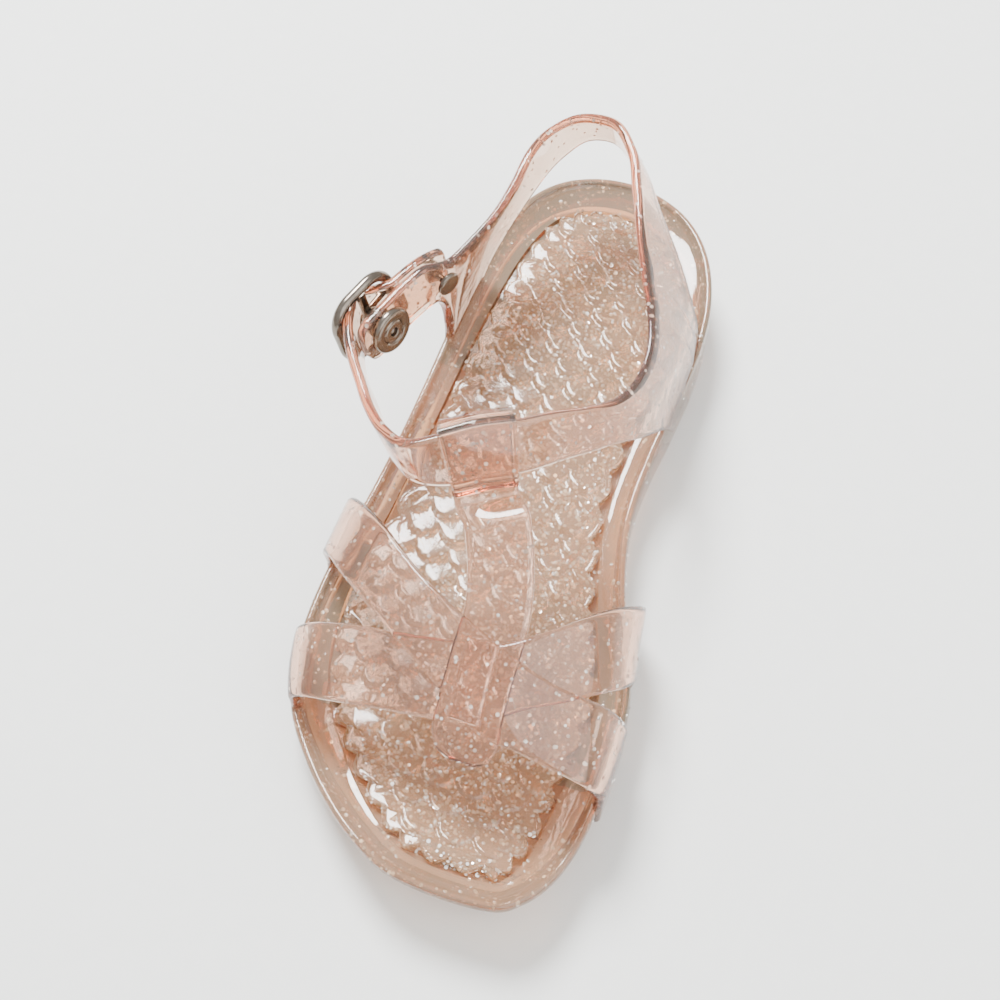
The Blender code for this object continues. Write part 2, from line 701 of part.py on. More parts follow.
def bar_surface(stations=33):
    """The bar's middle surface: under the crossing, up the instep and into the loop's front wall."""
    knots = distances(BAR[:, :2])
    rows = smooth(knots, BAR, np.linspace(0, knots[-1], stations))
    x, y = rows[:, 0] * BALL_WIDTH / 2, rows[:, 1] * SOLE_LENGTH
    heading = np.radians(rows[:, 3])[:, None]
    spread = (rows[:, 2] * BAR_WIDTH / 2)[:, None] * (1 - 2 * ACROSS)
    grid = over_last(x[:, None] + spread * np.cos(heading), y[:, None] + spread * np.sin(heading))
    grid[..., 2] -= 1.5 * CROSSING_STEP
    middle, along, up, _ = ring_frame(len(TAB) + LOOP_ROW)
    wall = ANKLE_STRAP_WIDTH / 2 + GAP + LOOP_WALL / 2
    ends = []
    for share in (1.0, 0.4, 0.0):
        centre = middle - up * (wall + share * BAR_APPROACH)
        ends.append(centre + along * (BAR_WIDTH / 2) * (2 * ACROSS - 1)[:, None])
    return np.concatenate([grid, np.array(ends)])


def keeper_surface():
    y = np.linspace(*KEEPER_ENDS, 9)[:, None] * SOLE_LENGTH
    ridge_x = last_section(y)[0]
    x = ridge_x + KEEPER_WIDTH / 2 * (1 - 2 * ACROSS)
    return over_last(x, np.broadcast_to(y, x.shape))


def loop_tube():
    """The flat tube that the ring strap runs through, following the strap's own curve."""
    stations = []
    rows = np.linspace(-1.2, 1.2, 25) + LOOP_ROW + len(TAB)
    frames = [ring_frame(row) for row in rows]
    run = np.cumsum([0.0] + [np.linalg.norm(b[0] - a[0]) for a, b in zip(frames, frames[1:])])
    centre = np.interp(LOOP_ROW + len(TAB), rows, run)
    hollow = (ANKLE_STRAP_WIDTH / 2 + GAP, STRAP_THICKNESS / 2 + GAP)
    shell = (hollow[0] + LOOP_WALL, hollow[1] + LOOP_WALL)
    for distance in np.linspace(-LOOP_LENGTH / 2, LOOP_LENGTH / 2, 7):
        middle, _, up, out = ring_frame(float(np.interp(centre + distance, run, rows)))
        for (wide, deep), ease in ((shell, LOOP_EASE), (hollow, 0.2 * LOOP_EASE)):
            corners = [(wide, deep - ease), (wide - ease, deep)]
            corners += [(-a, b) for a, b in corners[::-1]]
            corners += [(-a, -b) for a, b in corners]
            stations.append([middle + up * a + out * b for a, b in corners])
    count = 8
    faces = []
    for i in range(6):
        for j in range(count):
            k = (j + 1) % count
            a, b = 2 * i * count, 2 * (i + 1) * count
            faces.append((a + j, a + k, b + k, b + j))
            faces.append((a + count + j, b + count + j, b + count + k, a + count + k))
    for j in range(count):
        k = (j + 1) % count
        end = 12 * count
        faces.append((j, count + j, count + k, k))
        faces.append((end + j, end + k, end + count + k, end + count + j))
    return np.concatenate(stations), faces


# Buckle


def local_points(points):
    along, up, out = buckle_axes()
    return BUCKLE_MIDDLE + np.asarray(points) @ np.stack([along, up, out])


def tube(path, radius, sides=10, closed=False):
    """A round wire along a path, with flat ends unless closed."""
    path = np.asarray(path, float)
    if closed:
        ahead = np.roll(path, -1, 0) - np.roll(path, 1, 0)
    else:
        ahead = np.gradient(path, axis=0)
    ahead = unit(ahead)
    side = unit(np.cross(ahead, np.array([0.0, 0.0, 1.0])))
    other = np.cross(ahead, side)
    angle = np.linspace(0, 2 * math.pi, sides, endpoint=False)
    ring = np.cos(angle)[None, :, None] * side[:, None] + np.sin(angle)[None, :, None] * other[:, None]
    points = (path[:, None] + radius * ring).reshape(-1, 3)
    faces = []
    for i in range(len(path) if closed else len(path) - 1):
        a, b = i * sides, (i + 1) % len(path) * sides
        for j in range(sides):
            k = (j + 1) % sides
            faces.append((a + j, a + k, b + k, b + j))
    if not closed:
        faces.append(list(range(sides)))
        faces.append([len(points) - 1 - j for j in range(sides)])
    return points, faces


def turned(profile, origin, axis, sides=24):
    """A turned piece: profile rows are (radius, height) along axis, first and last on the axis."""
    upright = np.array(Vector(axis).to_track_quat("Z", "Y").to_matrix())
    angle = np.linspace(0, 2 * math.pi, sides, endpoint=False)
    points = [(0.0, 0.0, profile[0][1])]
    for radius, height in profile[1:-1]:
        points += [(radius * math.cos(a), radius * math.sin(a), height) for a in angle]
    points.append((0.0, 0.0, profile[-1][1]))
    points = np.array(points) @ upright.T + origin
    faces = []
    rings = len(profile) - 2
    for k in range(sides):
        j = (k + 1) % sides
        faces.append((0, 1 + j, 1 + k))
        for r in range(rings - 1):
            a, b = 1 + r * sides, 1 + (r + 1) * sides
            faces.append((a + k, a + j, b + j, b + k))
        last = 1 + (rings - 1) * sides
        faces.append((last + k, last + j, len(points) - 1))
    return points, faces


def frame_path(corner_steps=6):
    """Rounded rectangle through the middle of the frame's wire."""
    half_u, half_v = (BUCKLE_LENGTH - FRAME_WIRE) / 2, (BUCKLE_WIDTH - FRAME_WIRE) / 2
    centre = (half_u - BUCKLE_CORNER, half_v - BUCKLE_CORNER)
    points = []
    for quarter, (su, sv) in enumerate(((1, 1), (-1, 1), (-1, -1), (1, -1))):
        for k in range(corner_steps + 1):
            a = math.pi / 2 * (quarter + k / corner_steps)
            u = su * centre[0] + BUCKLE_CORNER * math.cos(a)
            v = sv * centre[1] + BUCKLE_CORNER * math.sin(a)
            points.append((u, v, 0.0))
    return points


def prong_path():
    """A hook over the bar, then straight to the frame, lying on its wire."""
    reach = (BAR_WIRE + PRONG_WIRE) / 2 + GAP
    rest = (FRAME_WIRE + PRONG_WIRE) / 2 + GAP
    turn = np.linspace(0, math.pi / 2, 7)
    hook = np.column_stack([-reach * np.cos(turn), 0 * turn, reach * np.sin(turn) - BAR_SINK])
    end = np.array([BUCKLE_LENGTH / 2, 0.0, rest])
    shaft = hook[-1] + (end - hook[-1]) * np.array([0.35, 0.70, 1.0])[:, None]
    return np.concatenate([hook, shaft])


for thing in list(bpy.data.objects):
    bpy.data.objects.remove(thing, do_unlink=True)

sandal = collection("jelly_sandal")
cutters = collection("cutters")

# Sole and footbed
sole = stacked_rings("sole", sole_rings(), "clear_peach", sandal)
footbed = stacked_rings("footbed", footbed_rings(), "glitter_peach", sandal)

# Front straps, bar, keeper and loop, moulded as one
over, under = CROSSING_STEP / 2, -CROSSING_STEP / 2
outer_wall = wall_of(front_strap(OUTER_TO_FRONT), STRAP_THICKNESS, over)
vamp = new_object("vamp_straps", *outer_wall, "clear_peach", sandal)
combine(
    vamp,
    [
        helper("front_to_inner", *wall_of(front_strap(FRONT_TO_INNER), STRAP_THICKNESS, under)),
        helper("bar", *wall_of(bar_surface(), STRAP_THICKNESS)),
        helper("keeper", *wall_of(keeper_surface(), STRAP_THICKNESS, 3.2 * over)),
        helper("loop", *loop_tube()),
    ],
    "UNION",
)

# Ring strap with its two quarters, tab and tail
out = buckle_axes()[2]
boss_low = STRAP_THICKNESS / 2 + GAP - TAB_DEPTH
row_count = len(ring_rows()[0])
ring_end = len(TAB) + len(RING) - 1
ring_at = np.concatenate(
    [
        np.linspace(0, len(TAB) - 1, 10)[:-1],
        np.linspace(len(TAB) - 1, ring_end, 3 * len(RING) + 1)[:-1],
        np.linspace(ring_end, row_count - 1, 2 * (row_count - 1 - ring_end) + 1),
    ]
)
ring_wall = wall_of(sections(ring_rows(), ring_at, ACROSS), STRAP_THICKNESS)
ankle = new_object("ankle_strap", *ring_wall, "clear_peach", sandal)
stud_middle, _, _, stud_out = ring_frame(len(TAB) + STUD_ROW)
hole = STUD_SHANK / 2 + GAP
low, high = -2 * STRAP_THICKNESS, 4 * STRAP_THICKNESS
stud_hole = [(0, low), (hole, low), (hole, high), (0, high)]
hole = SHANK_DIAMETER / 2 + GAP
low = -TAB_DEPTH - STRAP_THICKNESS
rivet_hole = [(0, low), (hole, low), (hole, boss_low), (0, boss_low)]
back, side = -(BAR_WIRE / 2 + PRONG_WIRE + 3 * GAP), PRONG_WIRE / 2 + GAP
corners = ((back, -side), (SLOT_REACH, -side), (SLOT_REACH, side), (back, side))
slot = [(u, v, w) for w in (boss_low, 2 * STRAP_THICKNESS) for u, v in corners]
box_faces = [(3, 2, 1, 0), (4, 5, 6, 7), (0, 1, 5, 4), (1, 2, 6, 5), (2, 3, 7, 6), (3, 0, 4, 7)]
combine(
    ankle,
    [
        helper("rivet_hole", *turned(rivet_hole, BUCKLE_MIDDLE, out)),
        helper("stud_hole", *turned(stud_hole, stud_middle, stud_out, 16)),
        helper("prong_slot", local_points(slot), box_faces),
    ],
    "DIFFERENCE",
)

# Room in the sole for the straps' roots, and the tread
quarters = []
tops, lows, root, reach = ring_rows()
for label, side, (first, last) in (("outer", -1, OUTER_QUARTER), ("inner", 1, INNER_QUARTER)):
    place = ring_at[(ring_at > len(TAB) + first) & (ring_at < len(TAB) + last)]
    ahead = np.sign(np.arange(len(root)) - len(TAB) - (first + last) / 2)
    wider = root - np.outer(ahead, [0, side * ROOM_SPREAD, 0])
    grid = sections((tops, lows, wider, reach), place, ACROSS, sink=1.5 * GAP)[:, 3:]
    quarters.append(room_for(f"quarter_{label}", grid, -GAP))
roots = root_cutters("over", OUTER_TO_FRONT, over) + root_cutters("under", FRONT_TO_INNER, under)
combine(sole, quarters + roots + groove_cutters(), "DIFFERENCE")

# Buckle
wire = tube(local_points(frame_path()), FRAME_WIRE / 2, closed=True)
frame = new_object("buckle_frame", *wire, "nickel", sandal)
bar_end = (BUCKLE_WIDTH - FRAME_WIRE) / 2
bar_path = [(0, share * bar_end, -BAR_SINK) for share in (-1, -0.5, 0.5, 1)]
boss_high = -BAR_SINK - 0.7 * BAR_WIRE / 2
boss = [(0, boss_low), (BOSS_DIAMETER / 2, boss_low), (BOSS_DIAMETER / 2, boss_high), (0, boss_high)]
combine(
    frame,
    [
        helper("centre_bar", *tube(local_points(bar_path), BAR_WIRE / 2), "nickel"),
        helper("boss", *turned(boss, BUCKLE_MIDDLE, out), "nickel"),
    ],
    "UNION",
)
new_object("buckle_prong", *tube(local_points(prong_path()), PRONG_WIRE / 2), "nickel", sandal)
rivet_shape = [
    # radius (of half RIVET_DIAMETER), depth (of RIVET_THICKNESS)
    (0.00, 0.4),
    (0.16, 0.4),
    (0.20, 1.0),
    (0.48, 1.0),
    (0.54, 0.8),
    (0.62, 1.0),
    (0.90, 1.0),
    (1.00, 0.7),
    (1.00, 0.0),
]
face = -(TAB_DEPTH + STRAP_THICKNESS / 2 + GAP)
rivet = [(r * RIVET_DIAMETER / 2, face - depth * RIVET_THICKNESS) for r, depth in rivet_shape]
shank = SHANK_DIAMETER / 2
rivet += [(shank, face), (shank, boss_low - GAP), (0, boss_low - GAP)]
new_object("buckle_rivet", *turned(rivet, BUCKLE_MIDDLE, out), "nickel", sandal)
tail_face = tail_lift(base_rows(), len(TAB) + STUD_ROW) + STRAP_THICKNESS / 2 + GAP
nub_face = -STRAP_THICKNESS / 2 - GAP
turn = np.linspace(0, math.radians(72), 5)
dome = zip(STUD_DIAMETER / 2 * np.cos(turn), tail_face + STUD_RIM + STUD_HEIGHT * np.sin(turn))
stud = [
    (0, nub_face - NUB_THICKNESS),
    (0.8 * NUB_DIAMETER / 2, nub_face - NUB_THICKNESS),
    (NUB_DIAMETER / 2, nub_face - 0.6 * NUB_THICKNESS),
    (NUB_DIAMETER / 2, nub_face),
    (STUD_SHANK / 2, nub_face),
    (STUD_SHANK / 2, tail_face),
    (STUD_DIAMETER / 2, tail_face),
    *dome,
    (0, tail_face + STUD_RIM + STUD_HEIGHT),
]
new_object("tail_stud", *turned(stud, stud_middle, stud_out, 20), "nickel", sandal)

# The origin goes to the middle of the whole sandal's box, on the floor
bpy.context.view_layer.update()
graph = bpy.context.evaluated_depsgraph_get()
corners = [corner[:] for thing in sandal.objects for corner in thing.evaluated_get(graph).bound_box]
low, high = np.min(corners, axis=0), np.max(corners, axis=0)
middle = (low + high) / 2
for mesh in bpy.data.meshes:
    mesh.transform(Matrix.Translation((-middle[0], -middle[1], -low[2])))
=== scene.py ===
"""A small child's jelly sandal for the right foot, in clear peach vinyl with silver glitter.

Metres, +Z up, toe at -Y, heel at +Y, inner (big toe) side at +X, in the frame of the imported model.
"""

import math

import bmesh
import bpy
import numpy as np
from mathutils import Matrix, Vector


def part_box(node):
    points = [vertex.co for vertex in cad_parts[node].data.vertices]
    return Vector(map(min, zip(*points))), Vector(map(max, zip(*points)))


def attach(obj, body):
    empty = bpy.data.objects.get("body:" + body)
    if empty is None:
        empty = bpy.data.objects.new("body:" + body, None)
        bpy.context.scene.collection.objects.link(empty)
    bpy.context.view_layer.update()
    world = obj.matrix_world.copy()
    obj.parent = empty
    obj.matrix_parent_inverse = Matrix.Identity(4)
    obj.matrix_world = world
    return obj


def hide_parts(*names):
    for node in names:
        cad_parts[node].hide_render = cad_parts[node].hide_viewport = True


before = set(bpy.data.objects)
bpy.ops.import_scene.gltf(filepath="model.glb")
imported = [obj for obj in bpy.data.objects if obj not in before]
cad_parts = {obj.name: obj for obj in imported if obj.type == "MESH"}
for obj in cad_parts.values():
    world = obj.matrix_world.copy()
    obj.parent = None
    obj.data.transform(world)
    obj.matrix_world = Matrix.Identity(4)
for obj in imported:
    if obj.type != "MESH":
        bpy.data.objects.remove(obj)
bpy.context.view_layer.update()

# Sole
# One solid moulding of clear PVC, tinted peach, with glitter stirred in before it is injected. The mould
# leaves it glossy. Its rim is a thin raised lip, and a smooth border slopes from there to the footbed.
SOLE_LENGTH = 0.1626
BALL_WIDTH = 0.0655
HEEL_WIDTH = 0.0520
FOREFOOT_HEIGHT = 0.0105  # floor to rim at the ball
HEEL_HEIGHT = 0.0165  # floor to rim at the heel
TOE_SPRING = 0.0045
ARCH_RISE = 0.0022
SIDE_FLARE = 0.0005  # how far the wall swells past the rim
SOLE_EDGE = 0.0012  # rounding round the tread
TOE_TUCK = 0.0046  # how far the tread draws in under the toe
LIP_WIDTH = 0.0016
LIP_HEIGHT = 0.0007
BORDER_WIDTH = 0.0042
BORDER_DEPTH = 0.0022
TREAD_WIDTH = 0.0022
TREAD_DEPTH = 0.0008
TREAD_PITCH = 0.0085
TREAD_MARGIN = 0.0065
TREAD_ZONES = ((0.05, 0.42), (0.66, 0.96))  # shares of the length
FOOTBED_THICKNESS = 0.0018
FOOTBED_TOP = 0.0010  # its top below the rim
GAP = 0.0003
SOLE_STATIONS = 420
TREAD_EASE = 0.0006  # over which a tread bar rises
CLOUD_SIZE = 0.014  # of the cloudy places in the vinyl
SAG_SIZE = 0.0045  # of the waves in its gloss
SAG_DEPTH = 0.0001

# Outline of the rim. Widths are shares of the ball's half width (heel 0) or the heel's (heel 1).
OUTLINE = np.array([
    # along, inner, outer, heel
    (0.000, 0.340, -0.340, 0.0),
    (0.004, 0.625, -0.080, 0.0),
    (0.025, 0.810, 0.180, 0.0),
    (0.055, 0.915, 0.400, 0.0),
    (0.100, 0.990, 0.640, 0.0),
    (0.155, 1.025, 0.850, 0.0),
    (0.230, 1.035, 0.965, 0.0),
    (0.300, 1.005, 0.990, 0.0),
    (0.370, 0.880, 0.975, 0.0),
    (0.440, 0.760, 0.930, 0.0),
    (0.520, 0.680, 0.895, 0.0),
    (0.600, 0.685, 0.872, 0.0),
    (0.680, 0.912, 1.080, 1.0),
    (0.760, 0.950, 1.065, 1.0),
    (0.830, 0.930, 1.035, 1.0),
    (0.890, 0.835, 0.965, 1.0),
    (0.940, 0.665, 0.835, 1.0),
    (0.975, 0.430, 0.625, 1.0),
    (0.993, 0.180, 0.385, 1.0),
    (1.000, -0.090, 0.090, 1.0),
])

# Heights along the sole, as shares of TOE_SPRING, ARCH_RISE and the step from forefoot to heel.
PROFILE = np.array([
    # along, spring, arch, heel
    (0.00, 1.00, 0.0, -0.05),
    (0.08, 0.45, 0.0, 0.00),
    (0.18, 0.00, 0.0, 0.00),
    (0.40, 0.00, 0.0, 0.06),
    (0.55, 0.00, 1.0, 0.35),
    (0.68, 0.00, 0.0, 0.72),
    (0.85, 0.00, 0.0, 0.95),
    (0.97, 0.00, 0.0, 1.05),
    (1.00, 0.00, 0.4, 1.08),
])

# Width of the smooth border and tuck of the wall, as shares of BORDER_WIDTH and TOE_TUCK.
BORDER = np.array([
    # along, width, tuck
    (0.00, 0.80, 1.0),
    (0.05, 1.10, 0.9),
    (0.14, 1.35, 0.4),
    (0.30, 1.00, 0.0),
    (0.65, 0.90, 0.0),
    (0.85, 1.30, 0.0),
    (1.00, 1.50, 0.1),
])


def smooth(knots, values, at, steady=False):
    """Cubic curve through values at knots. With steady, it never swings past a row."""
    knots, values = np.asarray(knots, float), np.asarray(values, float)
    at = np.clip(np.asarray(at, float), knots[0], knots[-1])
    slopes = np.gradient(values, knots, axis=0)
    if steady:
        steps = np.diff(values, axis=0) / np.diff(knots)
        product = steps[:-1] * steps[1:]
        total = steps[:-1] + steps[1:]
        calm = np.divide(2 * product, total, out=np.zeros_like(total), where=product > 0)
        slopes = np.concatenate([[0.0], calm, [0.0]])
    low = np.clip(np.searchsorted(knots, at, side="right") - 1, 0, len(knots) - 2)
    span = knots[low + 1] - knots[low]
    t = (at - knots[low]) / span
    if values.ndim > 1:
        t, span = t[..., None], span[..., None]
    return (
        values[low] * (1 + 2 * t) * (1 - t) ** 2
        + slopes[low] * span * t * (1 - t) ** 2
        + values[low + 1] * (3 - 2 * t) * t**2
        - slopes[low + 1] * span * t**2 * (1 - t)
    )


def unit(vector):
    """The vectors made one long."""
    return vector / np.linalg.norm(vector, axis=-1, keepdims=True)


def share_of(y):
    """The place along the sole, from 0 at the toe to 1 at the heel."""
    return np.clip(0.5 + np.asarray(y, float) / SOLE_LENGTH, 0.0, 1.0)


def rim_x(y, side):
    """X of the rim at y on the inner (side 1) or outer (side -1) side: a cubic curve through the outline's
    rows, spaced by the angle whose cosine is the place along, so that toe and heel close roundly."""
    half = np.where(OUTLINE[:, 3] > 0.5, HEEL_WIDTH, BALL_WIDTH) / 2
    column = OUTLINE[:, 1] if side > 0 else OUTLINE[:, 2]
    turn = np.arccos(1 - 2 * share_of(y))
    return side * smooth(np.arccos(1 - 2 * OUTLINE[:, 0]), column * half, turn)


def base_z(y):
    """Height of the tread: the spring at the toe and the rise at the arch."""
    spring = smooth(PROFILE[:, 0], PROFILE[:, 1], share_of(y), steady=True)
    arch = smooth(PROFILE[:, 0], PROFILE[:, 2], share_of(y), steady=True)
    return spring * TOE_SPRING + arch * ARCH_RISE


def rim_z(y):
    """Height of the rim: the forefoot's, with the toe's spring and the climb to the heel."""
    spring = smooth(PROFILE[:, 0], PROFILE[:, 1], share_of(y), steady=True)
    heel = smooth(PROFILE[:, 0], PROFILE[:, 3], share_of(y))
    return spring * TOE_SPRING + FOREFOOT_HEIGHT + heel * (HEEL_HEIGHT - FOREFOOT_HEIGHT)


def border_width(y):
    """Width of the slope inside the lip."""
    return BORDER_WIDTH * smooth(BORDER[:, 0], BORDER[:, 1], share_of(y))


def outline_ring(a_side):
    """The rim seen from above: inner side from toe to heel, then the outer side back to the toe."""
    y = -np.cos(np.linspace(0, math.pi, a_side + 1)) * SOLE_LENGTH / 2
    inner = np.stack([rim_x(y, 1), y], -1)
    outer = np.stack([rim_x(y, -1), y], -1)
    return np.concatenate([inner, outer[-2:0:-1]])


def inset(ring, distance):
    """The ring moved inwards by a distance, square to itself."""
    ahead = unit(np.roll(ring, -1, 0) - np.roll(ring, 1, 0))
    inward = np.stack([-ahead[:, 1], ahead[:, 0]], -1)
    return ring + inward * np.reshape(distance, (-1, 1))


def sides_of(ring, distance, height):
    """The inner and outer half of a ring that is moved inwards to a height, both from toe to heel."""
    placed = np.column_stack([inset(ring, distance), height])
    half = len(ring) // 2
    return placed[: half + 1], placed[-np.arange(half + 1)]


def across_between(outer, inner, shares):
    """Rows of points at shares of the way from the outer to the inner side."""
    return outer[:, None] + (inner - outer)[:, None] * np.asarray(shares)[None, :, None]


def grid_faces(rows, columns, closed_rows=False, closed_columns=False):
    """The four corners of each square of a grid of points, as one array."""
    i, j = np.meshgrid(
        np.arange(rows if closed_rows else rows - 1),
        np.arange(columns if closed_columns else columns - 1),
        indexing="ij",
    )
    a, b = i * columns, (i + 1) % rows * columns
    k = (j + 1) % columns
    return np.stack([a + j, b + j, b + k, a + k], -1).reshape(-1, 4)


rim = outline_ring(SOLE_STATIONS)


def new_piece(name, points, faces, material=None, sharp=50.0):
    """A mesh object from points and faces, with doubles merged and its faces turned outwards."""
    mesh = bpy.data.meshes.new(name)
    mesh.from_pydata((np.reshape(points, (-1, 3)) + TO_FRAME).tolist(), [], [list(face) for face in faces])
    work = bmesh.new()
    work.from_mesh(mesh)
    bmesh.ops.remove_doubles(work, verts=work.verts, dist=1e-6)
    bmesh.ops.recalc_face_normals(work, faces=work.faces)
    work.to_mesh(mesh)
    work.free()
    mesh.shade_smooth()
    mesh.set_sharp_from_angle(angle=math.radians(sharp))
    if material:
        mesh.materials.append(material)
    made = bpy.data.objects.new(name, mesh)
    bpy.context.scene.collection.objects.link(made)
    return made


def tread_height(x, y):
    """How far the tread rises into the sole: a row of shallow round-edged bars across both rests."""
    rise = np.zeros_like(y)
    for first, last in TREAD_ZONES:
        start, end = (first - 0.5) * SOLE_LENGTH, (last - 0.5) * SOLE_LENGTH
        bar = np.clip(np.round((y - start) / TREAD_PITCH), 0, math.ceil((end - start) / TREAD_PITCH) - 1)
        centre = start + bar * TREAD_PITCH
        inside = np.minimum(rim_x(centre, 1) - TREAD_MARGIN - x, x - rim_x(centre, -1) - TREAD_MARGIN)
        depth = np.clip((TREAD_WIDTH / 2 - np.abs(y - centre)) / TREAD_EASE, 0, 1)
        rise = np.maximum(rise, depth * np.clip(inside / TREAD_EASE, 0, 1))
    return TREAD_DEPTH * rise * rise * (3 - 2 * rise)


def sole_surface():
    """Sections across the sole from toe to heel. Each runs over the tread, up the inner wall, over the lip,
    down the border to the footbed's seat, across it, and back down the outer wall."""
    y = rim[:, 1]
    base, top = base_z(y), rim_z(y)
    tuck = TOE_TUCK * smooth(BORDER[:, 0], BORDER[:, 2], share_of(y), steady=True)
    slope = border_width(y)
    edge = LIP_WIDTH + slope
    turn = np.linspace(0, math.pi / 2, 5)
    levels = [
        (
            (SOLE_EDGE * (1 - math.sin(a)) - SIDE_FLARE) + tuck * (1 - 0.25 * math.sin(a)),
            base + SOLE_EDGE * (1 - math.cos(a)),
        )
        for a in turn
    ]
    for share in (0.15, 0.30, 0.45, 0.60, 0.75, 0.88):
        wall = SIDE_FLARE * (1 - 0.7 * share**3)
        climb = share * (top - base - 2 * SOLE_EDGE)
        levels.append((0.75 * tuck * (1 - share) ** 1.3 - wall, base + SOLE_EDGE + climb))
    for a in np.linspace(0.15, math.pi - 0.15, 9):
        half = LIP_WIDTH / 2
        levels.append((half - half * math.cos(a), top - LIP_HEIGHT * (1 - math.sin(a))))
    for share in (0.12, 0.25, 0.40, 0.55, 0.70, 0.85, 1.0):
        fall = LIP_HEIGHT + (BORDER_DEPTH - LIP_HEIGHT) * math.sin(share * math.pi / 2)
        levels.append((LIP_WIDTH + share * slope, top - fall))
    levels.append((edge + GAP, top - FOOTBED_TOP - FOOTBED_THICKNESS - GAP))
    pairs = [sides_of(rim, distance, height) for distance, height in levels]
    inner = np.stack([pair[0] for pair in pairs], 1)
    outer = np.stack([pair[1] for pair in pairs], 1)
    tread = across_between(outer[:, 0], inner[:, 0], np.linspace(0, 1, 50)[1:-1])
    tread[..., 2] = base_z(tread[..., 1]) + tread_height(tread[..., 0], tread[..., 1])
    return np.concatenate([tread, inner, outer[:, ::-1]], 1)


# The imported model's origin is the middle of the whole sandal. The two boxes of the sole give the way there.
sections_of_sole = sole_surface()
sole_low, sole_high = (np.array(corner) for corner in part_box("sole"))
TO_FRAME = (sole_low + sole_high - sections_of_sole.min((0, 1)) - sections_of_sole.max((0, 1))) / 2
TO_FRAME[2] = 0.0


def linear(hex_colour):
    """A colour written as sRGB hex, in linear light, with full alpha."""
    channels = np.array([int(hex_colour[k : k + 2], 16) for k in (1, 3, 5)]) / 255
    low = channels / 12.92
    high = ((channels + 0.055) / 1.055) ** 2.4
    return (*np.where(channels <= 0.04045, low, high).tolist(), 1.0)


def add(tree, kind, inputs=(), **settings):
    """A node of this kind, with its settings, and its inputs given values or joined to other sockets."""
    node = tree.nodes.new(kind)
    for name, value in settings.items():
        setattr(node, name, value)
    for name, value in dict(inputs).items():
        if isinstance(value, bpy.types.NodeSocket):
            tree.links.new(value, node.inputs[name])
        else:
            node.inputs[name].default_value = value
    return node


def new_material(name):
    """A material with its node tree, its shader and the piece's own coordinates."""
    made = bpy.data.materials.new(name)
    made.use_nodes = True
    tree = made.node_tree
    return made, tree, tree.nodes["Principled BSDF"], add(tree, "ShaderNodeTexCoord").outputs["Object"]


def noise(tree, place, size, detail):
    """Soft noise whose patches are about this size in metres."""
    values = {"Vector": place, "Scale": 1 / size, "Detail": detail}
    return add(tree, "ShaderNodeTexNoise", values).outputs["Fac"]


def between(tree, share, first, last):
    """The colour at a share of the way between two colours written as hex."""
    colours = {"Factor": share, "A": linear(first), "B": linear(last)}
    return add(tree, "ShaderNodeMix", colours, data_type="RGBA").outputs["Result"]


def spread(tree, value, low, high):
    """The middle range of a noise, spread between two values."""
    ends = {"From Min": 0.3, "From Max": 0.7, "To Min": low, "To Max": high}
    return add(tree, "ShaderNodeMapRange", {"Value": value, **ends}).outputs["Result"]


def vinyl(name, tint, deep, absorb, transmission, gloss):
    """Injection-moulded clear PVC: glossy with a faint sag and orange peel, cloudy in places, and with a
    tint that deepens with the way through it."""
    made, tree, shader, place = new_material(name)
    cloud = noise(tree, place, CLOUD_SIZE, 3.0)
    tree.links.new(between(tree, cloud, tint, deep), shader.inputs["Base Color"])
    tree.links.new(spread(tree, cloud, gloss * 0.7, gloss * 1.4), shader.inputs["Roughness"])
    sag = {"Height": noise(tree, place, SAG_SIZE, 1.0), "Distance": SAG_DEPTH, "Strength": 0.5}
    tree.links.new(add(tree, "ShaderNodeBump", sag).outputs[0], shader.inputs["Normal"])
    shader.inputs["Transmission Weight"].default_value = transmission
    shader.inputs["IOR"].default_value = 1.53
    absorption = add(tree, "ShaderNodeVolumeAbsorption", {"Color": linear(absorb[0]), "Density": absorb[1]})
    tree.links.new(absorption.outputs[0], tree.nodes["Material Output"].inputs["Volume"])
    return made


# Clear vinyl, injection moulded: glossy, seen through, pale where thin and deep peach where light runs
# a long way through it.
clear_vinyl = vinyl(
    "clear_vinyl_moulded",
    tint="#F5DABC",
    deep="#E6BE94",
    absorb=("#F2BE78", 115.0),
    transmission=0.80,
    gloss=0.06,
)
sole = new_piece(
    "sole_moulding",
    sections_of_sole,
    grid_faces(*sections_of_sole.shape[:2], closed_columns=True),
    clear_vinyl,
)
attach(sole, "root")
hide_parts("sole")

# Footbed
# A thin inlay of the same vinyl with twice the glitter, laid in the seat inside the border. Its edge
# is a row of lobes, and its top is pressed with rows of small scales whose round ends point to the toe.
SCALLOP_DEPTH = 0.0017
SCALLOP_LENGTH = 0.0068  # along the edge
SCALE_WIDTH = 0.0070
SCALE_PITCH = 0.0048  # from one row of scales to the next
SCALE_RELIEF = 0.00085
SCALE_ROUNDING = 0.0011  # rounding of a scale's end
SCALE_MARGIN = 0.0026  # plain edge inside the lobes
SCALE_FALL = 1.7  # rows of scales over which one slopes down
SCALE_CROWN = 2.2
FOOTBED_CORNER = 0.3  # rounding of its top edge, of its thickness
FOOTBED_STATIONS = 416


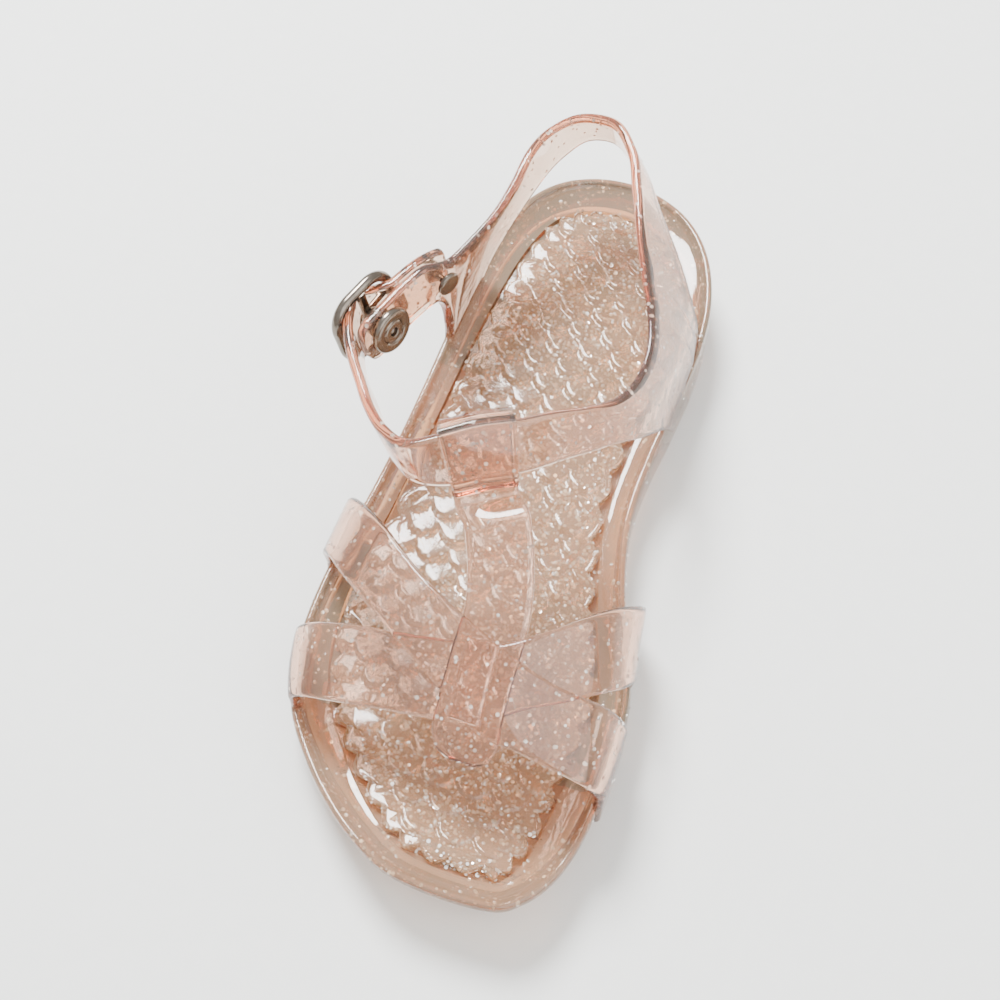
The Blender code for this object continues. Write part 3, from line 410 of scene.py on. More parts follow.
def scale_height(x, y):
    """Height of the scales: each rises to its round end and drops there to the scale before it.

    A point is on the row nearest the heel whose round ends it has passed. The rows are staggered by half.
    """
    row = np.floor((y + SOLE_LENGTH / 2) / SCALE_PITCH)
    best = np.full(y.shape, -1.0)
    height = np.zeros(y.shape)
    for step in range(-1, 3):
        k = row + step
        offset = np.where(k % 2 > 0.5, 0.5, 0.0)
        from_middle = (x / SCALE_WIDTH + offset) % 1.0 - 0.5
        round_end = 0.5 * SCALE_WIDTH * (1 - np.sqrt(np.clip(1 - (2 * from_middle) ** 2, 0, 1)))
        start = k * SCALE_PITCH - SOLE_LENGTH / 2 + round_end
        passed = y - start
        covers = (passed >= 0) & (k > best)
        fall = np.clip(passed / (SCALE_FALL * SCALE_PITCH), 0, 1)
        lift = np.clip(passed / SCALE_ROUNDING, 0, 1)
        dome = 1 - SCALE_CROWN * from_middle**2
        height = np.where(covers, (1 - fall) ** 1.5 * lift * (2 - lift) * dome, height)
        best = np.where(covers, k, best)
    return SCALE_RELIEF * height


def distances(points):
    """How far along a line of points each one lies."""
    return np.concatenate([[0.0], np.cumsum(np.linalg.norm(np.diff(points, axis=0), axis=1))])


def footbed_surface():
    """Sections across the footbed from toe to heel: under it, up its lobed edge, and over its scales."""
    ring = outline_ring(FOOTBED_STATIONS)
    y = ring[:, 1]
    run = distances(np.concatenate([ring, ring[:1]]))
    place = run[:-1] / run[-1] * round(run[-1] / SCALLOP_LENGTH)
    lobe = 1 - np.abs(np.sin(math.pi * place))
    edge = LIP_WIDTH + border_width(y) + 2 * GAP + SCALLOP_DEPTH * lobe
    top = rim_z(y) - FOOTBED_TOP
    corner = FOOTBED_CORNER * FOOTBED_THICKNESS
    levels = [(edge, top - FOOTBED_THICKNESS)]
    for a in np.linspace(0, math.pi / 2, 5):
        levels.append((edge + corner * (1 - math.cos(a)), top - corner * (1 - math.sin(a))))
    pairs = [sides_of(ring, distance, height) for distance, height in levels]
    inner = np.stack([pair[0] for pair in pairs], 1)
    outer = np.stack([pair[1] for pair in pairs], 1)
    shares = np.linspace(0, 1, 130)[1:-1]
    top_face = across_between(inner[:, -1], outer[:, -1], shares)
    x, along = top_face[..., 0], top_face[..., 1]
    width = np.linalg.norm(inner[:, -1] - outer[:, -1], axis=1)[:, None]
    inside = np.minimum(shares, 1 - shares)[None] * width
    end = SOLE_LENGTH / 2 - np.abs(along) - LIP_WIDTH - BORDER_WIDTH
    fade = np.clip(np.minimum(inside, end) / SCALE_MARGIN - 0.3, 0, 1)
    top_face[..., 2] = rim_z(along) - FOOTBED_TOP + scale_height(x, along) * fade
    under = across_between(outer[:, 0], inner[:, 0], [0.25, 0.5, 0.75])
    return np.concatenate([under, inner, top_face, outer[:, ::-1]], 1)


# Glitter vinyl: the same clear PVC, a little milkier and deeper, which sets off the glitter in it.
glitter_vinyl = vinyl(
    "glitter_vinyl_pressed",
    tint="#F0D6B8",
    deep="#DBB288",
    absorb=("#F3BF7E", 135.0),
    transmission=0.78,
    gloss=0.09,
)
sections_of_footbed = footbed_surface()
footbed = new_piece(
    "footbed_inlay",
    sections_of_footbed,
    grid_faces(*sections_of_footbed.shape[:2], closed_columns=True),
    glitter_vinyl,
)
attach(footbed, "root")
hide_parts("footbed")

# Front straps
# Two flat straps cross over the forefoot, and a bar runs from under the toe crossing up the instep to a
# loop, with a narrow keeper over the crossing. All are one moulding with the sole, with rounded edges.
STRAP_THICKNESS = 0.0020
STRAP_EDGE = 0.0008  # rounding of a strap's long edges
VAMP_STRAP_WIDTH = 0.0140
ANKLE_STRAP_WIDTH = 0.0105
BAR_WIDTH = 0.0122
KEEPER_WIDTH = 0.0062
CROSSING_STEP = 0.0008  # how far one strap stands above the other where they cross
INSTEP_HEIGHT = 0.0430  # floor to the top of the bar
ANKLE_HEIGHT = 0.0455  # floor to the top edge of the heel strap
BELLY_RISE = 0.0050  # rim to the widest place of the front straps
ROOT_HEIGHT = 0.0040  # floor to the lower end of a strap's root
ROOT_SINK = 0.0009  # how far a root's middle lies inside the sole's wall
ROOT_ANGLE = math.radians(120.0)
LOOP_WALL = 0.0016
LOOP_LENGTH = 0.0127
LOOP_EASE = 0.0010
BAR_APPROACH = 0.0028  # straight end of the bar below the loop
LOOP_EDGE = 0.0005  # rounding of its mouths
END_THINNING = 0.3  # what is left of a strap's thickness at a rounded end
BAR_DROP = 1.5  # how far the bar lies under the last, in CROSSING_STEP
KEEPER_LIFT = 1.6  # how far the keeper lies over it, in CROSSING_STEP
SHOULDER = 0.95  # share of the way out to the belly, past which the last isn't followed
ROW_STEP = 0.03  # part of a row over which a direction is taken
KNEE_HEIGHT = 0.0180  # above a quarter's lower end, where its curve leaves the wall

# Ridge of the last over the forefoot. Height is a share of the way from the rim to INSTEP_HEIGHT, side a
# share of half the ball's width, and the bulges how far straps stand off the wall, in STRAP_THICKNESS.
RIDGE = np.array([
    # along (from the middle), height, side, inner bulge, outer bulge
    (-0.37, 0.400, 0.24, 0.0, -0.20),
    (-0.33, 0.580, 0.22, 0.0, -0.25),
    (-0.29, 0.665, 0.20, 0.0, -0.25),
    (-0.24, 0.730, 0.18, 0.0, -0.30),
    (-0.18, 0.810, 0.14, 0.4, -0.40),
    (-0.12, 0.910, 0.06, 1.5, -0.35),
    (-0.07, 1.000, -0.02, 2.3, -0.10),
])

# Front straps. Turn is the share of the way round the last, from the outer root (-1) over the ridge (0)
# to the inner root (1). Middle is a share of the length, width a share of VAMP_STRAP_WIDTH.
OUTER_TO_FRONT = np.array([
    # turn, middle, width
    (-1.00, -0.127, 0.89),
    (-0.75, -0.131, 0.84),
    (-0.58, -0.143, 0.89),
    (-0.37, -0.184, 1.00),
    (-0.15, -0.246, 0.95),
    (0.03, -0.289, 1.05),
    (0.22, -0.301, 0.92),
    (0.52, -0.300, 1.03),
    (0.75, -0.300, 1.07),
    (1.00, -0.301, 1.10),
])
FRONT_TO_INNER = np.array([
    # turn, middle, width
    (-1.00, -0.305, 1.00),
    (-0.75, -0.306, 0.96),
    (-0.37, -0.306, 0.96),
    (-0.15, -0.301, 0.93),
    (-0.05, -0.296, 0.97),
    (0.07, -0.283, 0.98),
    (0.19, -0.255, 1.00),
    (0.31, -0.228, 1.10),
    (0.44, -0.200, 1.14),
    (0.58, -0.175, 1.14),
    (0.75, -0.149, 1.11),
    (1.00, -0.135, 1.20),
])

# The bar: its middle line, its width, and the heading of its width in degrees from +X.
BAR = np.array([
    # side (of half the ball), along (from the middle), width (of BAR_WIDTH), heading
    (0.255, -0.366, 0.35, 0.0),
    (0.250, -0.360, 0.75, 0.0),
    (0.243, -0.349, 0.97, 0.0),
    (0.230, -0.320, 1.00, 0.0),
    (0.215, -0.270, 1.00, 0.0),
    (0.205, -0.220, 1.00, 4.0),
    (0.140, -0.165, 1.00, 18.0),
    (0.050, -0.122, 1.00, 30.0),
])
KEEPER_ENDS = (-0.330, -0.248)  # along, from the middle


def rounded_across(width, inner=14):
    """Shares of a strap's width at which its section has points, and its half thickness there: full in the
    middle, and a quarter circle of STRAP_EDGE down to each edge."""
    turn = np.linspace(0, math.pi / 2, 5)
    ease = STRAP_EDGE / width
    edge = ease * (1 - np.cos(turn))
    half = STRAP_THICKNESS / 2 - STRAP_EDGE + STRAP_EDGE * np.sin(turn)
    middle = np.linspace(ease, 1 - ease, inner + 2)[1:-1]
    shares = np.concatenate([edge, middle, 1 - edge[::-1]])
    return shares, np.concatenate([half, np.full(inner, STRAP_THICKNESS / 2), half[::-1]])


def normals(grid):
    """The way square to a surface at each point of its grid."""
    return unit(np.cross(np.gradient(grid, axis=0), np.gradient(grid, axis=1)))


def strap_wall(grid, half, offset=0.0, rounded_ends=False):
    """A closed wall round a middle surface: the surface moved out and in by half the thickness."""
    normal = normals(grid)
    half = np.broadcast_to(half, grid.shape[:2]).copy()
    if rounded_ends:
        half[[0, -1]] *= END_THINNING
    middle = grid + normal * offset
    out = normal * half[..., None]
    loop = np.concatenate([middle + out, (middle - out)[:, ::-1]], 1)
    rows, columns = loop.shape[:2]
    caps = [list(range(columns)), list(range((rows - 1) * columns, rows * columns))]
    return loop, grid_faces(rows, columns, closed_columns=True).tolist() + caps


def last_section(y):
    """The last at y: ridge x, ridge z, belly z, and the bulge of the straps on the inner and outer side."""
    height, side, inner, outer = (
        smooth(RIDGE[:, 0], RIDGE[:, k], y / SOLE_LENGTH) for k in (1, 2, 3, 4)
    )
    edge = rim_z(y)
    ridge_z = edge + height * (INSTEP_HEIGHT - edge)
    bulges = inner * STRAP_THICKNESS, outer * STRAP_THICKNESS
    return side * BALL_WIDTH / 2, ridge_z, edge + BELLY_RISE, *bulges


def last_point(turn, y):
    """A point of the last over the forefoot: a quarter ellipse from the ridge out to the belly, then a
    tuck in to the root in the sole's wall. Turn runs ROOT_ANGLE either way from the ridge."""
    turn, y = np.broadcast_arrays(np.asarray(turn, float), np.asarray(y, float))
    ridge_x, ridge_z, belly_z, inner, outer = last_section(y)
    stand = SIDE_FLARE - ROOT_SINK
    wall = np.where(turn > 0, rim_x(y, 1) + stand, rim_x(y, -1) - stand)
    belly_x = wall + np.where(turn > 0, inner, -outer)
    sine, cosine = np.abs(np.sin(ROOT_ANGLE * turn)), np.cos(ROOT_ANGLE * turn)
    root_sine, root_cosine = math.sin(ROOT_ANGLE), math.cos(ROOT_ANGLE)
    tucked = belly_x - (belly_x - wall) * (1 - sine) / (1 - root_sine)
    x = np.where(cosine < 0, tucked, ridge_x + (belly_x - ridge_x) * sine)
    drop = belly_z - ROOT_HEIGHT - base_z(y)
    z = np.where(cosine < 0, belly_z - drop * cosine / root_cosine, belly_z + (ridge_z - belly_z) * cosine)
    return np.stack([x, y, z], -1)


def over_last(x, y):
    """A point of the last above the belly, from its x and y."""
    ridge_x, ridge_z, belly_z, inner, outer = last_section(y)
    reach = np.where(x > ridge_x, rim_x(y, 1) + inner, rim_x(y, -1) - outer) - ridge_x
    share = np.clip((x - ridge_x) / reach, 0.0, SHOULDER)
    return np.stack([x, y, belly_z + (ridge_z - belly_z) * np.sqrt(1 - share**2)], -1)


def front_strap(table, offset, stations=150):
    """A front strap's wall: rows of points round the last, each row as wide as the table says."""
    shares, half_wall = rounded_across(VAMP_STRAP_WIDTH)
    turn = np.linspace(-1.0, 1.0, stations)
    middle = smooth(table[:, 0], table[:, 1], turn) * SOLE_LENGTH
    half = smooth(table[:, 0], table[:, 2], turn) * VAMP_STRAP_WIDTH / 2
    grid = last_point(turn[:, None], middle[:, None] + half[:, None] * (2 * shares - 1))
    return strap_wall(grid, half_wall, offset)


# Where the buckle sits: its middle, the way along the strap, and its lean across it.
BUCKLE_MIDDLE = np.array([-0.730 * HEEL_WIDTH, 0.092 * SOLE_LENGTH, 0.845 * ANKLE_HEIGHT])
BUCKLE_ALONG = np.array([0.33, 0.94, 0.05])
BUCKLE_LEAN = np.array([-0.20, 0.0, 1.0])
BUCKLE_LENGTH = 0.0170  # along the strap
BUCKLE_WIDTH = 0.0172
BUCKLE_CORNER = 0.0050
FRAME_WIRE = 0.0022
BAR_WIRE = 0.0020
BAR_SINK = 0.0006  # the centre bar's middle below the frame's
TAB_DEPTH = 0.0047  # the tab's middle below the frame's

# The tab under the buckle, from its rounded end.
TAB = np.array([
    # along (of BUCKLE_LENGTH, from its middle), width (of the strap's), depth (of TAB_DEPTH)
    (-0.370, 0.40, 1.02),
    (-0.335, 0.72, 1.02),
    (-0.260, 0.95, 1.00),
    (-0.118, 1.00, 1.00),
    (0.147, 1.00, 1.00),
    (0.441, 1.00, 1.02),
    (0.735, 1.00, 1.19),
])

# The ring strap from the tab round the heel and over the instep. Each row is one section: its top edge,
# the lean of its width, how far it reaches down to the sole (1 is right into the wall), and where.
RING = np.array([
    # side (of half the heel), along (from the middle), height (of ANKLE_HEIGHT), lean x, y, reach, root
    (-1.015, 0.182, 0.945, 0.24, 0.04, 0.45, 0.172),
    (-0.895, 0.226, 0.955, 0.20, 0.08, 1.00, 0.196),
    (-0.800, 0.272, 0.968, 0.14, 0.16, 1.00, 0.262),
    (-0.755, 0.318, 0.985, 0.12, 0.20, 0.30, 0.284),
    (-0.740, 0.362, 1.000, 0.16, 0.14, 0.00, 0.284),
    (-0.655, 0.405, 1.000, 0.20, 0.24, 0.00, 0.284),
    (-0.460, 0.438, 1.000, 0.10, 0.33, 0.00, 0.284),
    (-0.215, 0.443, 1.000, 0.00, 0.36, 0.00, 0.284),
    (-0.010, 0.412, 0.990, 0.12, 0.40, 0.00, 0.290),
    (0.130, 0.360, 0.970, 0.38, 0.36, 0.00, 0.290),
    (0.250, 0.308, 0.945, 0.52, 0.32, 0.26, 0.290),
    (0.395, 0.254, 0.915, 0.46, 0.30, 1.00, 0.280),
    (0.535, 0.209, 0.880, 0.40, 0.20, 1.00, 0.256),
    (0.625, 0.165, 0.865, 0.40, 0.10, 1.00, 0.205),
    (0.640, 0.118, 0.870, 0.42, 0.02, 0.95, 0.180),
    (0.560, 0.072, 0.905, 0.46, -0.06, 0.28, 0.180),
    (0.385, 0.038, 0.975, 0.46, -0.16, 0.00, 0.180),
    (0.180, 0.006, 1.050, 0.38, -0.36, 0.00, 0.180),
    (-0.023, -0.022, 1.085, 0.34, -0.50, 0.00, 0.180),
    (-0.270, -0.045, 1.097, 0.33, -0.55, 0.00, 0.180),
    (-0.500, -0.070, 1.090, 0.30, -0.48, 0.00, 0.180),
    (-0.700, -0.086, 1.070, 0.28, -0.22, 0.00, 0.180),
    (-0.905, -0.074, 1.040, 0.24, -0.02, 0.00, 0.180),
    (-1.085, -0.047, 1.010, 0.22, 0.04, 0.00, 0.180),
    (-1.240, -0.014, 0.990, 0.20, 0.04, 0.00, 0.180),
    (-1.370, 0.015, 0.975, 0.18, 0.00, 0.00, 0.180),
])
LOOP_ROW = 19  # of RING
TAIL_ROWS = (-0.80, -0.10, 0.20)  # of RING, where the strap's end lies over the tab
TAIL_WIDTHS = (1.00, 0.94, 0.42)
TAIL_LIFT = 0.0005  # between the tab and the tail over it
STUD_ROW = -0.30


def buckle_axes():
    """The ways along the strap, up across it, and out of it at the buckle."""
    along = unit(BUCKLE_ALONG)
    up = unit(BUCKLE_LEAN - along * (BUCKLE_LEAN @ along))
    return along, up, np.cross(up, along)


def at_buckle(points):
    """Points given along, up and out from the buckle's middle."""
    return BUCKLE_MIDDLE + np.asarray(points, float) @ np.stack(buckle_axes())


def threaded_path():
    """Middle line of the strap through the frame, along and out: an arc round the bar and one round the
    frame's wire on each side, joined by the straight lines that touch both."""
    wire_u = (BUCKLE_LENGTH - FRAME_WIRE) / 2
    round_wire = FRAME_WIRE / 2 + STRAP_THICKNESS / 2 + GAP
    round_bar = BAR_WIRE / 2 + STRAP_THICKNESS / 2 + GAP
    apart = math.hypot(wire_u, BAR_SINK)
    slope = math.asin((round_wire + round_bar) / apart) - math.atan2(BAR_SINK, wire_u)
    turns = np.linspace(0.0, slope, 4)
    under = np.stack([-wire_u + round_wire * np.sin(turns), -round_wire * np.cos(turns)], -1)
    crown = np.stack([-round_bar * np.sin(turns[::-1]), round_bar * np.cos(turns[::-1]) - BAR_SINK], -1)
    far = np.concatenate([under, crown])[-2::-1] * np.array([-1.0, 1.0])
    return np.concatenate([under[-1:], crown, far])


def ring_sections(rows, at, across):
    """Points of the ring strap's middle surface at fractional rows, across its width.

    A row is its top edge, its lower edge, the root below it and how far it reaches down to that root. The
    width is a parabola between the edges. On its way down the lower edge first goes aside.
    """
    tops, lows, root, reach = rows
    index = np.arange(len(tops))
    knots = distances((tops + lows) / 2)
    place = np.interp(at, index, knots)
    top, low = smooth(knots, tops, place), smooth(knots, lows, place)
    foot = np.stack([np.interp(at, index, root[:, k]) for k in range(3)], -1)
    down = np.clip(smooth(index, reach, at, steady=True), 0, 1)
    share = np.stack([1 - (1 - down) ** 2, down, down], -1)
    knee = foot + np.array([0, 0, KNEE_HEIGHT])
    middle = (top + low) / 2
    control = (middle + (knee - middle) * down[:, None])[:, None]
    foot = (low + (foot - low) * share)[:, None]
    w = across[None, :, None]
    return (1 - w) ** 2 * top[:, None] + 2 * w * (1 - w) * control + w**2 * foot


def strap_frame(rows, row):
    """Middle of the strap at a fractional row, with the ways along, up and out."""
    middles = []
    near = row + ROW_STEP * np.array([-1, 0, 1])
    for place in ring_sections(rows, near, np.linspace(0, 1, 61)):
        down = ANKLE_STRAP_WIDTH * np.array([0.0, 0.5, 1.0])
        middles.append(np.stack([np.interp(down, distances(place), place[:, k]) for k in range(3)], -1))
    before, here, after = middles
    along = unit(after[1] - before[1])
    up = here[0] - here[2]
    up = unit(up - along * (up @ along))
    return here[1], along, up, np.cross(up, along)


def tail_lift(rows, row):
    """How far out of the tab's middle the tail's middle lies, so that it clears the tab's curve."""
    middle, _, _, out = strap_frame(rows, row)
    place = ring_sections(rows, np.array([row]), np.linspace(0, 1, 61))[0]
    covered = place[distances(place) < ANKLE_STRAP_WIDTH]
    return ((covered - middle) @ out).max() + STRAP_THICKNESS + TAIL_LIFT


def base_rows():
    """The rows from the tab's end, round the heel and over the instep, to just before the buckle."""
    shape = TAB * np.array([BUCKLE_LENGTH, ANKLE_STRAP_WIDTH / 2, -TAB_DEPTH])
    top = RING[:, :3] * np.array([HEEL_WIDTH / 2, SOLE_LENGTH, ANKLE_HEIGHT])
    hang = np.column_stack([RING[:, 3:5], -np.sqrt(1 - (RING[:, 3:5] ** 2).sum(1))])
    root_y = RING[:, 6] * SOLE_LENGTH
    stand = SIDE_FLARE - ROOT_SINK
    wall = np.where(np.arange(len(RING)) < 8, rim_x(root_y, -1) - stand, rim_x(root_y, 1) + stand)
    root = np.column_stack([wall, root_y, ROOT_HEIGHT + base_z(root_y)])
    return (
        np.concatenate([at_buckle(shape), top]),
        np.concatenate([at_buckle(shape * np.array([1, -1, 1])), top + hang * ANKLE_STRAP_WIDTH]),
        np.concatenate([np.repeat(root[:1], len(TAB), 0), root]),
        np.concatenate([np.zeros(len(TAB)), RING[:, 5]]),
    )


def whole_ring():
    """The rows of the whole strap: the base rows, those through the buckle, and the tail over the tab."""
    base = base_rows()
    half = ANKLE_STRAP_WIDTH / 2
    path = threaded_path()
    through = np.column_stack([path[:, 0], np.full(len(path), half), path[:, 1]])
    tops, lows = [at_buckle(through)], [at_buckle(through * np.array([1, -1, 1]))]
    for row, share in zip(TAIL_ROWS, TAIL_WIDTHS):
        middle, _, up, out = strap_frame(base, len(TAB) + row)
        middle = middle + out * tail_lift(base, len(TAB) + row)
        tops.append([middle + up * half * share])
        lows.append([middle - up * half * share])
    extra = len(path) + len(TAIL_ROWS)
    return (
        np.concatenate([base[0], *tops]),
        np.concatenate([base[1], *lows]),
        np.concatenate([base[2], np.repeat(base[2][-1:], extra, 0)]),
        np.concatenate([base[3], np.zeros(extra)]),
    )


ring_rows = whole_ring()


def bar_wall(stations=110):
    """The bar: under the crossing, up the instep and into the loop's front wall."""
    shares, half_wall = rounded_across(BAR_WIDTH)
    knots = distances(BAR[:, :2])
    rows = smooth(knots, BAR, np.linspace(0, knots[-1], stations))
    x, y = rows[:, 0] * BALL_WIDTH / 2, rows[:, 1] * SOLE_LENGTH
    heading = np.radians(rows[:, 3])[:, None]
    spread = (rows[:, 2] * BAR_WIDTH / 2)[:, None] * (1 - 2 * shares)
    grid = over_last(x[:, None] + spread * np.cos(heading), y[:, None] + spread * np.sin(heading))
    grid[..., 2] -= BAR_DROP * CROSSING_STEP
    middle, along, up, _ = strap_frame(ring_rows, len(TAB) + LOOP_ROW)
    wall = ANKLE_STRAP_WIDTH / 2 + GAP + LOOP_WALL / 2
    ends = [
        middle - up * (wall + share * BAR_APPROACH) + along * (BAR_WIDTH / 2) * (2 * shares - 1)[:, None]
        for share in (1.0, 0.4, 0.0)
    ]
    # The last stretch is a cubic curve through the rows near it, so that the bar runs into the loop.
    grid = np.concatenate([grid, np.array(ends)])
    run = distances(grid.mean(1))
    keep = np.r_[0 : stations - 1 : 3, stations - 1, stations, stations + 1, stations + 2]
    grid = smooth(run[keep], grid[keep].reshape(len(keep), -1), np.linspace(0, run[-1], 130))
    return strap_wall(grid.reshape(130, -1, 3), half_wall, rounded_ends=True)


def keeper_wall():
    """The narrow keeper that bridges the crossing on the ridge."""
    shares, half_wall = rounded_across(KEEPER_WIDTH)
    y = np.linspace(*KEEPER_ENDS, 40)[:, None] * SOLE_LENGTH
    x = last_section(y)[0] + KEEPER_WIDTH / 2 * (1 - 2 * shares)
    grid = over_last(x, np.broadcast_to(y, x.shape))
    return strap_wall(grid, half_wall, KEEPER_LIFT * CROSSING_STEP, rounded_ends=True)


def loop_tube():
    """The flat tube that the ring strap runs through: a rounded box carried along the strap's own curve,
    with its hollow inside it."""
    rows = np.linspace(-1.2, 1.2, 25) + LOOP_ROW + len(TAB)
    run = distances(np.array([strap_frame(ring_rows, row)[0] for row in rows]))
    centre = np.interp(LOOP_ROW + len(TAB), rows, run)
    hollow = (ANKLE_STRAP_WIDTH / 2 + GAP, STRAP_THICKNESS / 2 + GAP)
    shell = (hollow[0] + LOOP_WALL, hollow[1] + LOOP_WALL)
    turn = np.linspace(0, math.pi / 2, 5)
    outlines = []
    for (wide, deep), ease in ((shell, 1.2 * LOOP_EASE), (hollow, 0.4 * LOOP_EASE)):
        corner = np.stack([wide - ease + ease * np.cos(turn), deep - ease + ease * np.sin(turn)], -1)
        half = np.concatenate([corner, (corner * np.array([-1, 1]))[::-1]])
        outlines.append(np.concatenate([half, -half]))
    sections = []
    near_end = 1 - LOOP_EDGE / LOOP_LENGTH
    places = np.concatenate([[-1, -near_end], np.linspace(-0.93, 0.93, 15), [near_end, 1]])
    for distance in places * LOOP_LENGTH / 2:
        middle, _, up, out = strap_frame(ring_rows, float(np.interp(centre + distance, run, rows)))
        sections.append([middle + ring[:, :1] * up + ring[:, 1:] * out for ring in outlines])
    points = np.array(sections)
    # The wall's own section runs along the outside, round its end, and back along the hollow.
    outside, inside = points[:, 0], points[:, 1]
    outside[[0, -1]] = outside[[0, -1]] * 0.7 + inside[[0, -1]] * 0.3
    wall = np.concatenate([outside, inside[::-1]])
    return wall, grid_faces(*wall.shape[:2], closed_rows=True, closed_columns=True)


# Strap vinyl: the same clear PVC as the sole, a little softer. It is the clearest, as it is thin.
strap_vinyl = vinyl(
    "strap_vinyl_moulded",
    tint="#FCF3EA",
    deep="#F9E8D8",
    absorb=("#F3B67C", 185.0),
    transmission=0.97,
    gloss=0.035,
)


def joined(target, others):
    """The target with the others added by an exact union, as one mesh."""
    for other in others:
        step = target.modifiers.new(other.name, "BOOLEAN")
        step.operation = "UNION"
        step.solver = "EXACT"
        step.object = other
    bpy.context.view_layer.update()
    graph = bpy.context.evaluated_depsgraph_get()
    mesh = bpy.data.meshes.new_from_object(target.evaluated_get(graph))
    target.modifiers.clear()
    target.data = mesh
    for other in others:
        bpy.data.objects.remove(other, do_unlink=True)
    mesh.shade_smooth()
    mesh.set_sharp_from_angle(angle=math.radians(50))
    return target


vamp = joined(
    new_piece("front_straps", *front_strap(OUTER_TO_FRONT, CROSSING_STEP / 2), strap_vinyl),
    [
        new_piece("front_to_inner", *front_strap(FRONT_TO_INNER, -CROSSING_STEP / 2), strap_vinyl),
        new_piece("bar", *bar_wall(), strap_vinyl),
        new_piece("keeper", *keeper_wall(), strap_vinyl),
        new_piece("loop", *loop_tube(), strap_vinyl),
    ],
)
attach(vamp, "root")
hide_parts("vamp_straps")

# Ring strap
# The strap that goes round the heel, down into the sole as two quarters, and over the instep through the
# loop to the buckle, where it runs over the centre bar and ends on its own tab. It is one with the sole.
ring_end = len(TAB) + len(RING) - 1
row_count = len(ring_rows[0])
ring_at = np.concatenate(
    [
        np.linspace(0, len(TAB) - 1, 30)[:-1],
        np.linspace(len(TAB) - 1, ring_end, 12 * len(RING) + 1)[:-1],
        np.linspace(ring_end, row_count - 1, 5 * (row_count - 1 - ring_end) + 1),
    ]
)
ring_shares, ring_half = rounded_across(ANKLE_STRAP_WIDTH, inner=18)
ankle = new_piece(
    "ring_strap",
    *strap_wall(ring_sections(ring_rows, ring_at, ring_shares), ring_half, rounded_ends=True),
    strap_vinyl,
)
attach(ankle, "root")
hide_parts("ankle_strap")

# Glitter
# Hexagons punched from metallised film, 0.5 to 1 mm across, lying every way inside the vinyl just under
# its skin. They are real plates, so that they brighten and darken one by one as the shoe turns.
FLAKE_THICKNESS = 0.00004
FLOOR_CLEARANCE = 0.0006  # from the floor to a plate's middle
FLAKE_ACROSS = (0.00045, 0.00090)  # from the smallest to the largest
FLAKE_SHALLOWEST = 0.00002  # from the skin to a plate's middle
FLAKE_LEAN = 0.32  # 0 lies flat under the skin
TONE_SIZE = 0.002  # over which the film's colour drifts
glitter_seed = np.random.default_rng(11)


def flakes(name, source, count, deepest):
    """Hexagonal plates strewn over a piece by area, sunk under its skin and turned at random."""
    mesh = source.data
    mesh.calc_loop_triangles()
    corners = np.empty(len(mesh.loop_triangles) * 3, np.int32)
    mesh.loop_triangles.foreach_get("vertices", corners)
    points = np.empty(len(mesh.vertices) * 3, np.float32)
    mesh.vertices.foreach_get("co", points)
    triangles = points.reshape(-1, 3)[corners.reshape(-1, 3)].astype(float)
    cross = np.cross(triangles[:, 1] - triangles[:, 0], triangles[:, 2] - triangles[:, 0])
    area = np.linalg.norm(cross, axis=1)
    chosen = glitter_seed.choice(len(area), count, p=area / area.sum())
    a, b = np.sort(glitter_seed.random((2, count)), axis=0)
    corner = triangles[chosen]
    normal = cross[chosen] / area[chosen, None]
    middle = a[:, None] * corner[:, 0] + (b - a)[:, None] * corner[:, 1] + (1 - b)[:, None] * corner[:, 2]
    middle = middle - normal * glitter_seed.uniform(FLAKE_SHALLOWEST, deepest, count)[:, None]
    middle[:, 2] = np.maximum(middle[:, 2], FLOOR_CLEARANCE)
    facing = unit(normal + FLAKE_LEAN * glitter_seed.normal(size=(count, 3)))
    side = unit(np.cross(facing, glitter_seed.normal(size=(count, 3))))
    other = np.cross(facing, side)
    radius = glitter_seed.uniform(*FLAKE_ACROSS, count)[:, None, None] / 2
    turn = np.linspace(0, 2 * math.pi, 6, endpoint=False)[None, :, None]
    ring = middle[:, None] + radius * (np.cos(turn) * side[:, None] + np.sin(turn) * other[:, None])
    lift = facing[:, None] * FLAKE_THICKNESS / 2
    plates = np.stack([ring + lift, ring - lift], 1)
    k = np.arange(6)
    walls = np.stack([k, 6 + k, 6 + (k + 1) % 6, (k + 1) % 6], -1)
    halves = np.array([[0, 1, 2, 3], [0, 3, 4, 5]])
    one = np.concatenate([walls, halves, (6 + halves)[:, ::-1]])
    faces = (one[None] + 12 * np.arange(count)[:, None, None]).reshape(-1, 4)
    made = bpy.data.meshes.new(name)
    made.from_pydata(plates.reshape(-1, 3).tolist(), [], faces.tolist())
    made.materials.append(glitter_film)
    thing = bpy.data.objects.new(name, made)
    bpy.context.scene.collection.objects.link(thing)
    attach(thing, "root")
    return thing


def film(name):
    """Metallised polyester film with a pearly face: part of the light scatters, so a plate stays pale from
    every side, and each is a little warmer or whiter than the next."""
    made, tree, shader, place = new_material(name)
    tone = noise(tree, place, TONE_SIZE, 0.0)
    tree.links.new(between(tree, tone, "#FFFFFF", "#F6F0E8"), shader.inputs["Base Color"])
    shader.inputs["Metallic"].default_value = 0.45
    shader.inputs["Roughness"].default_value = 0.24
    return made


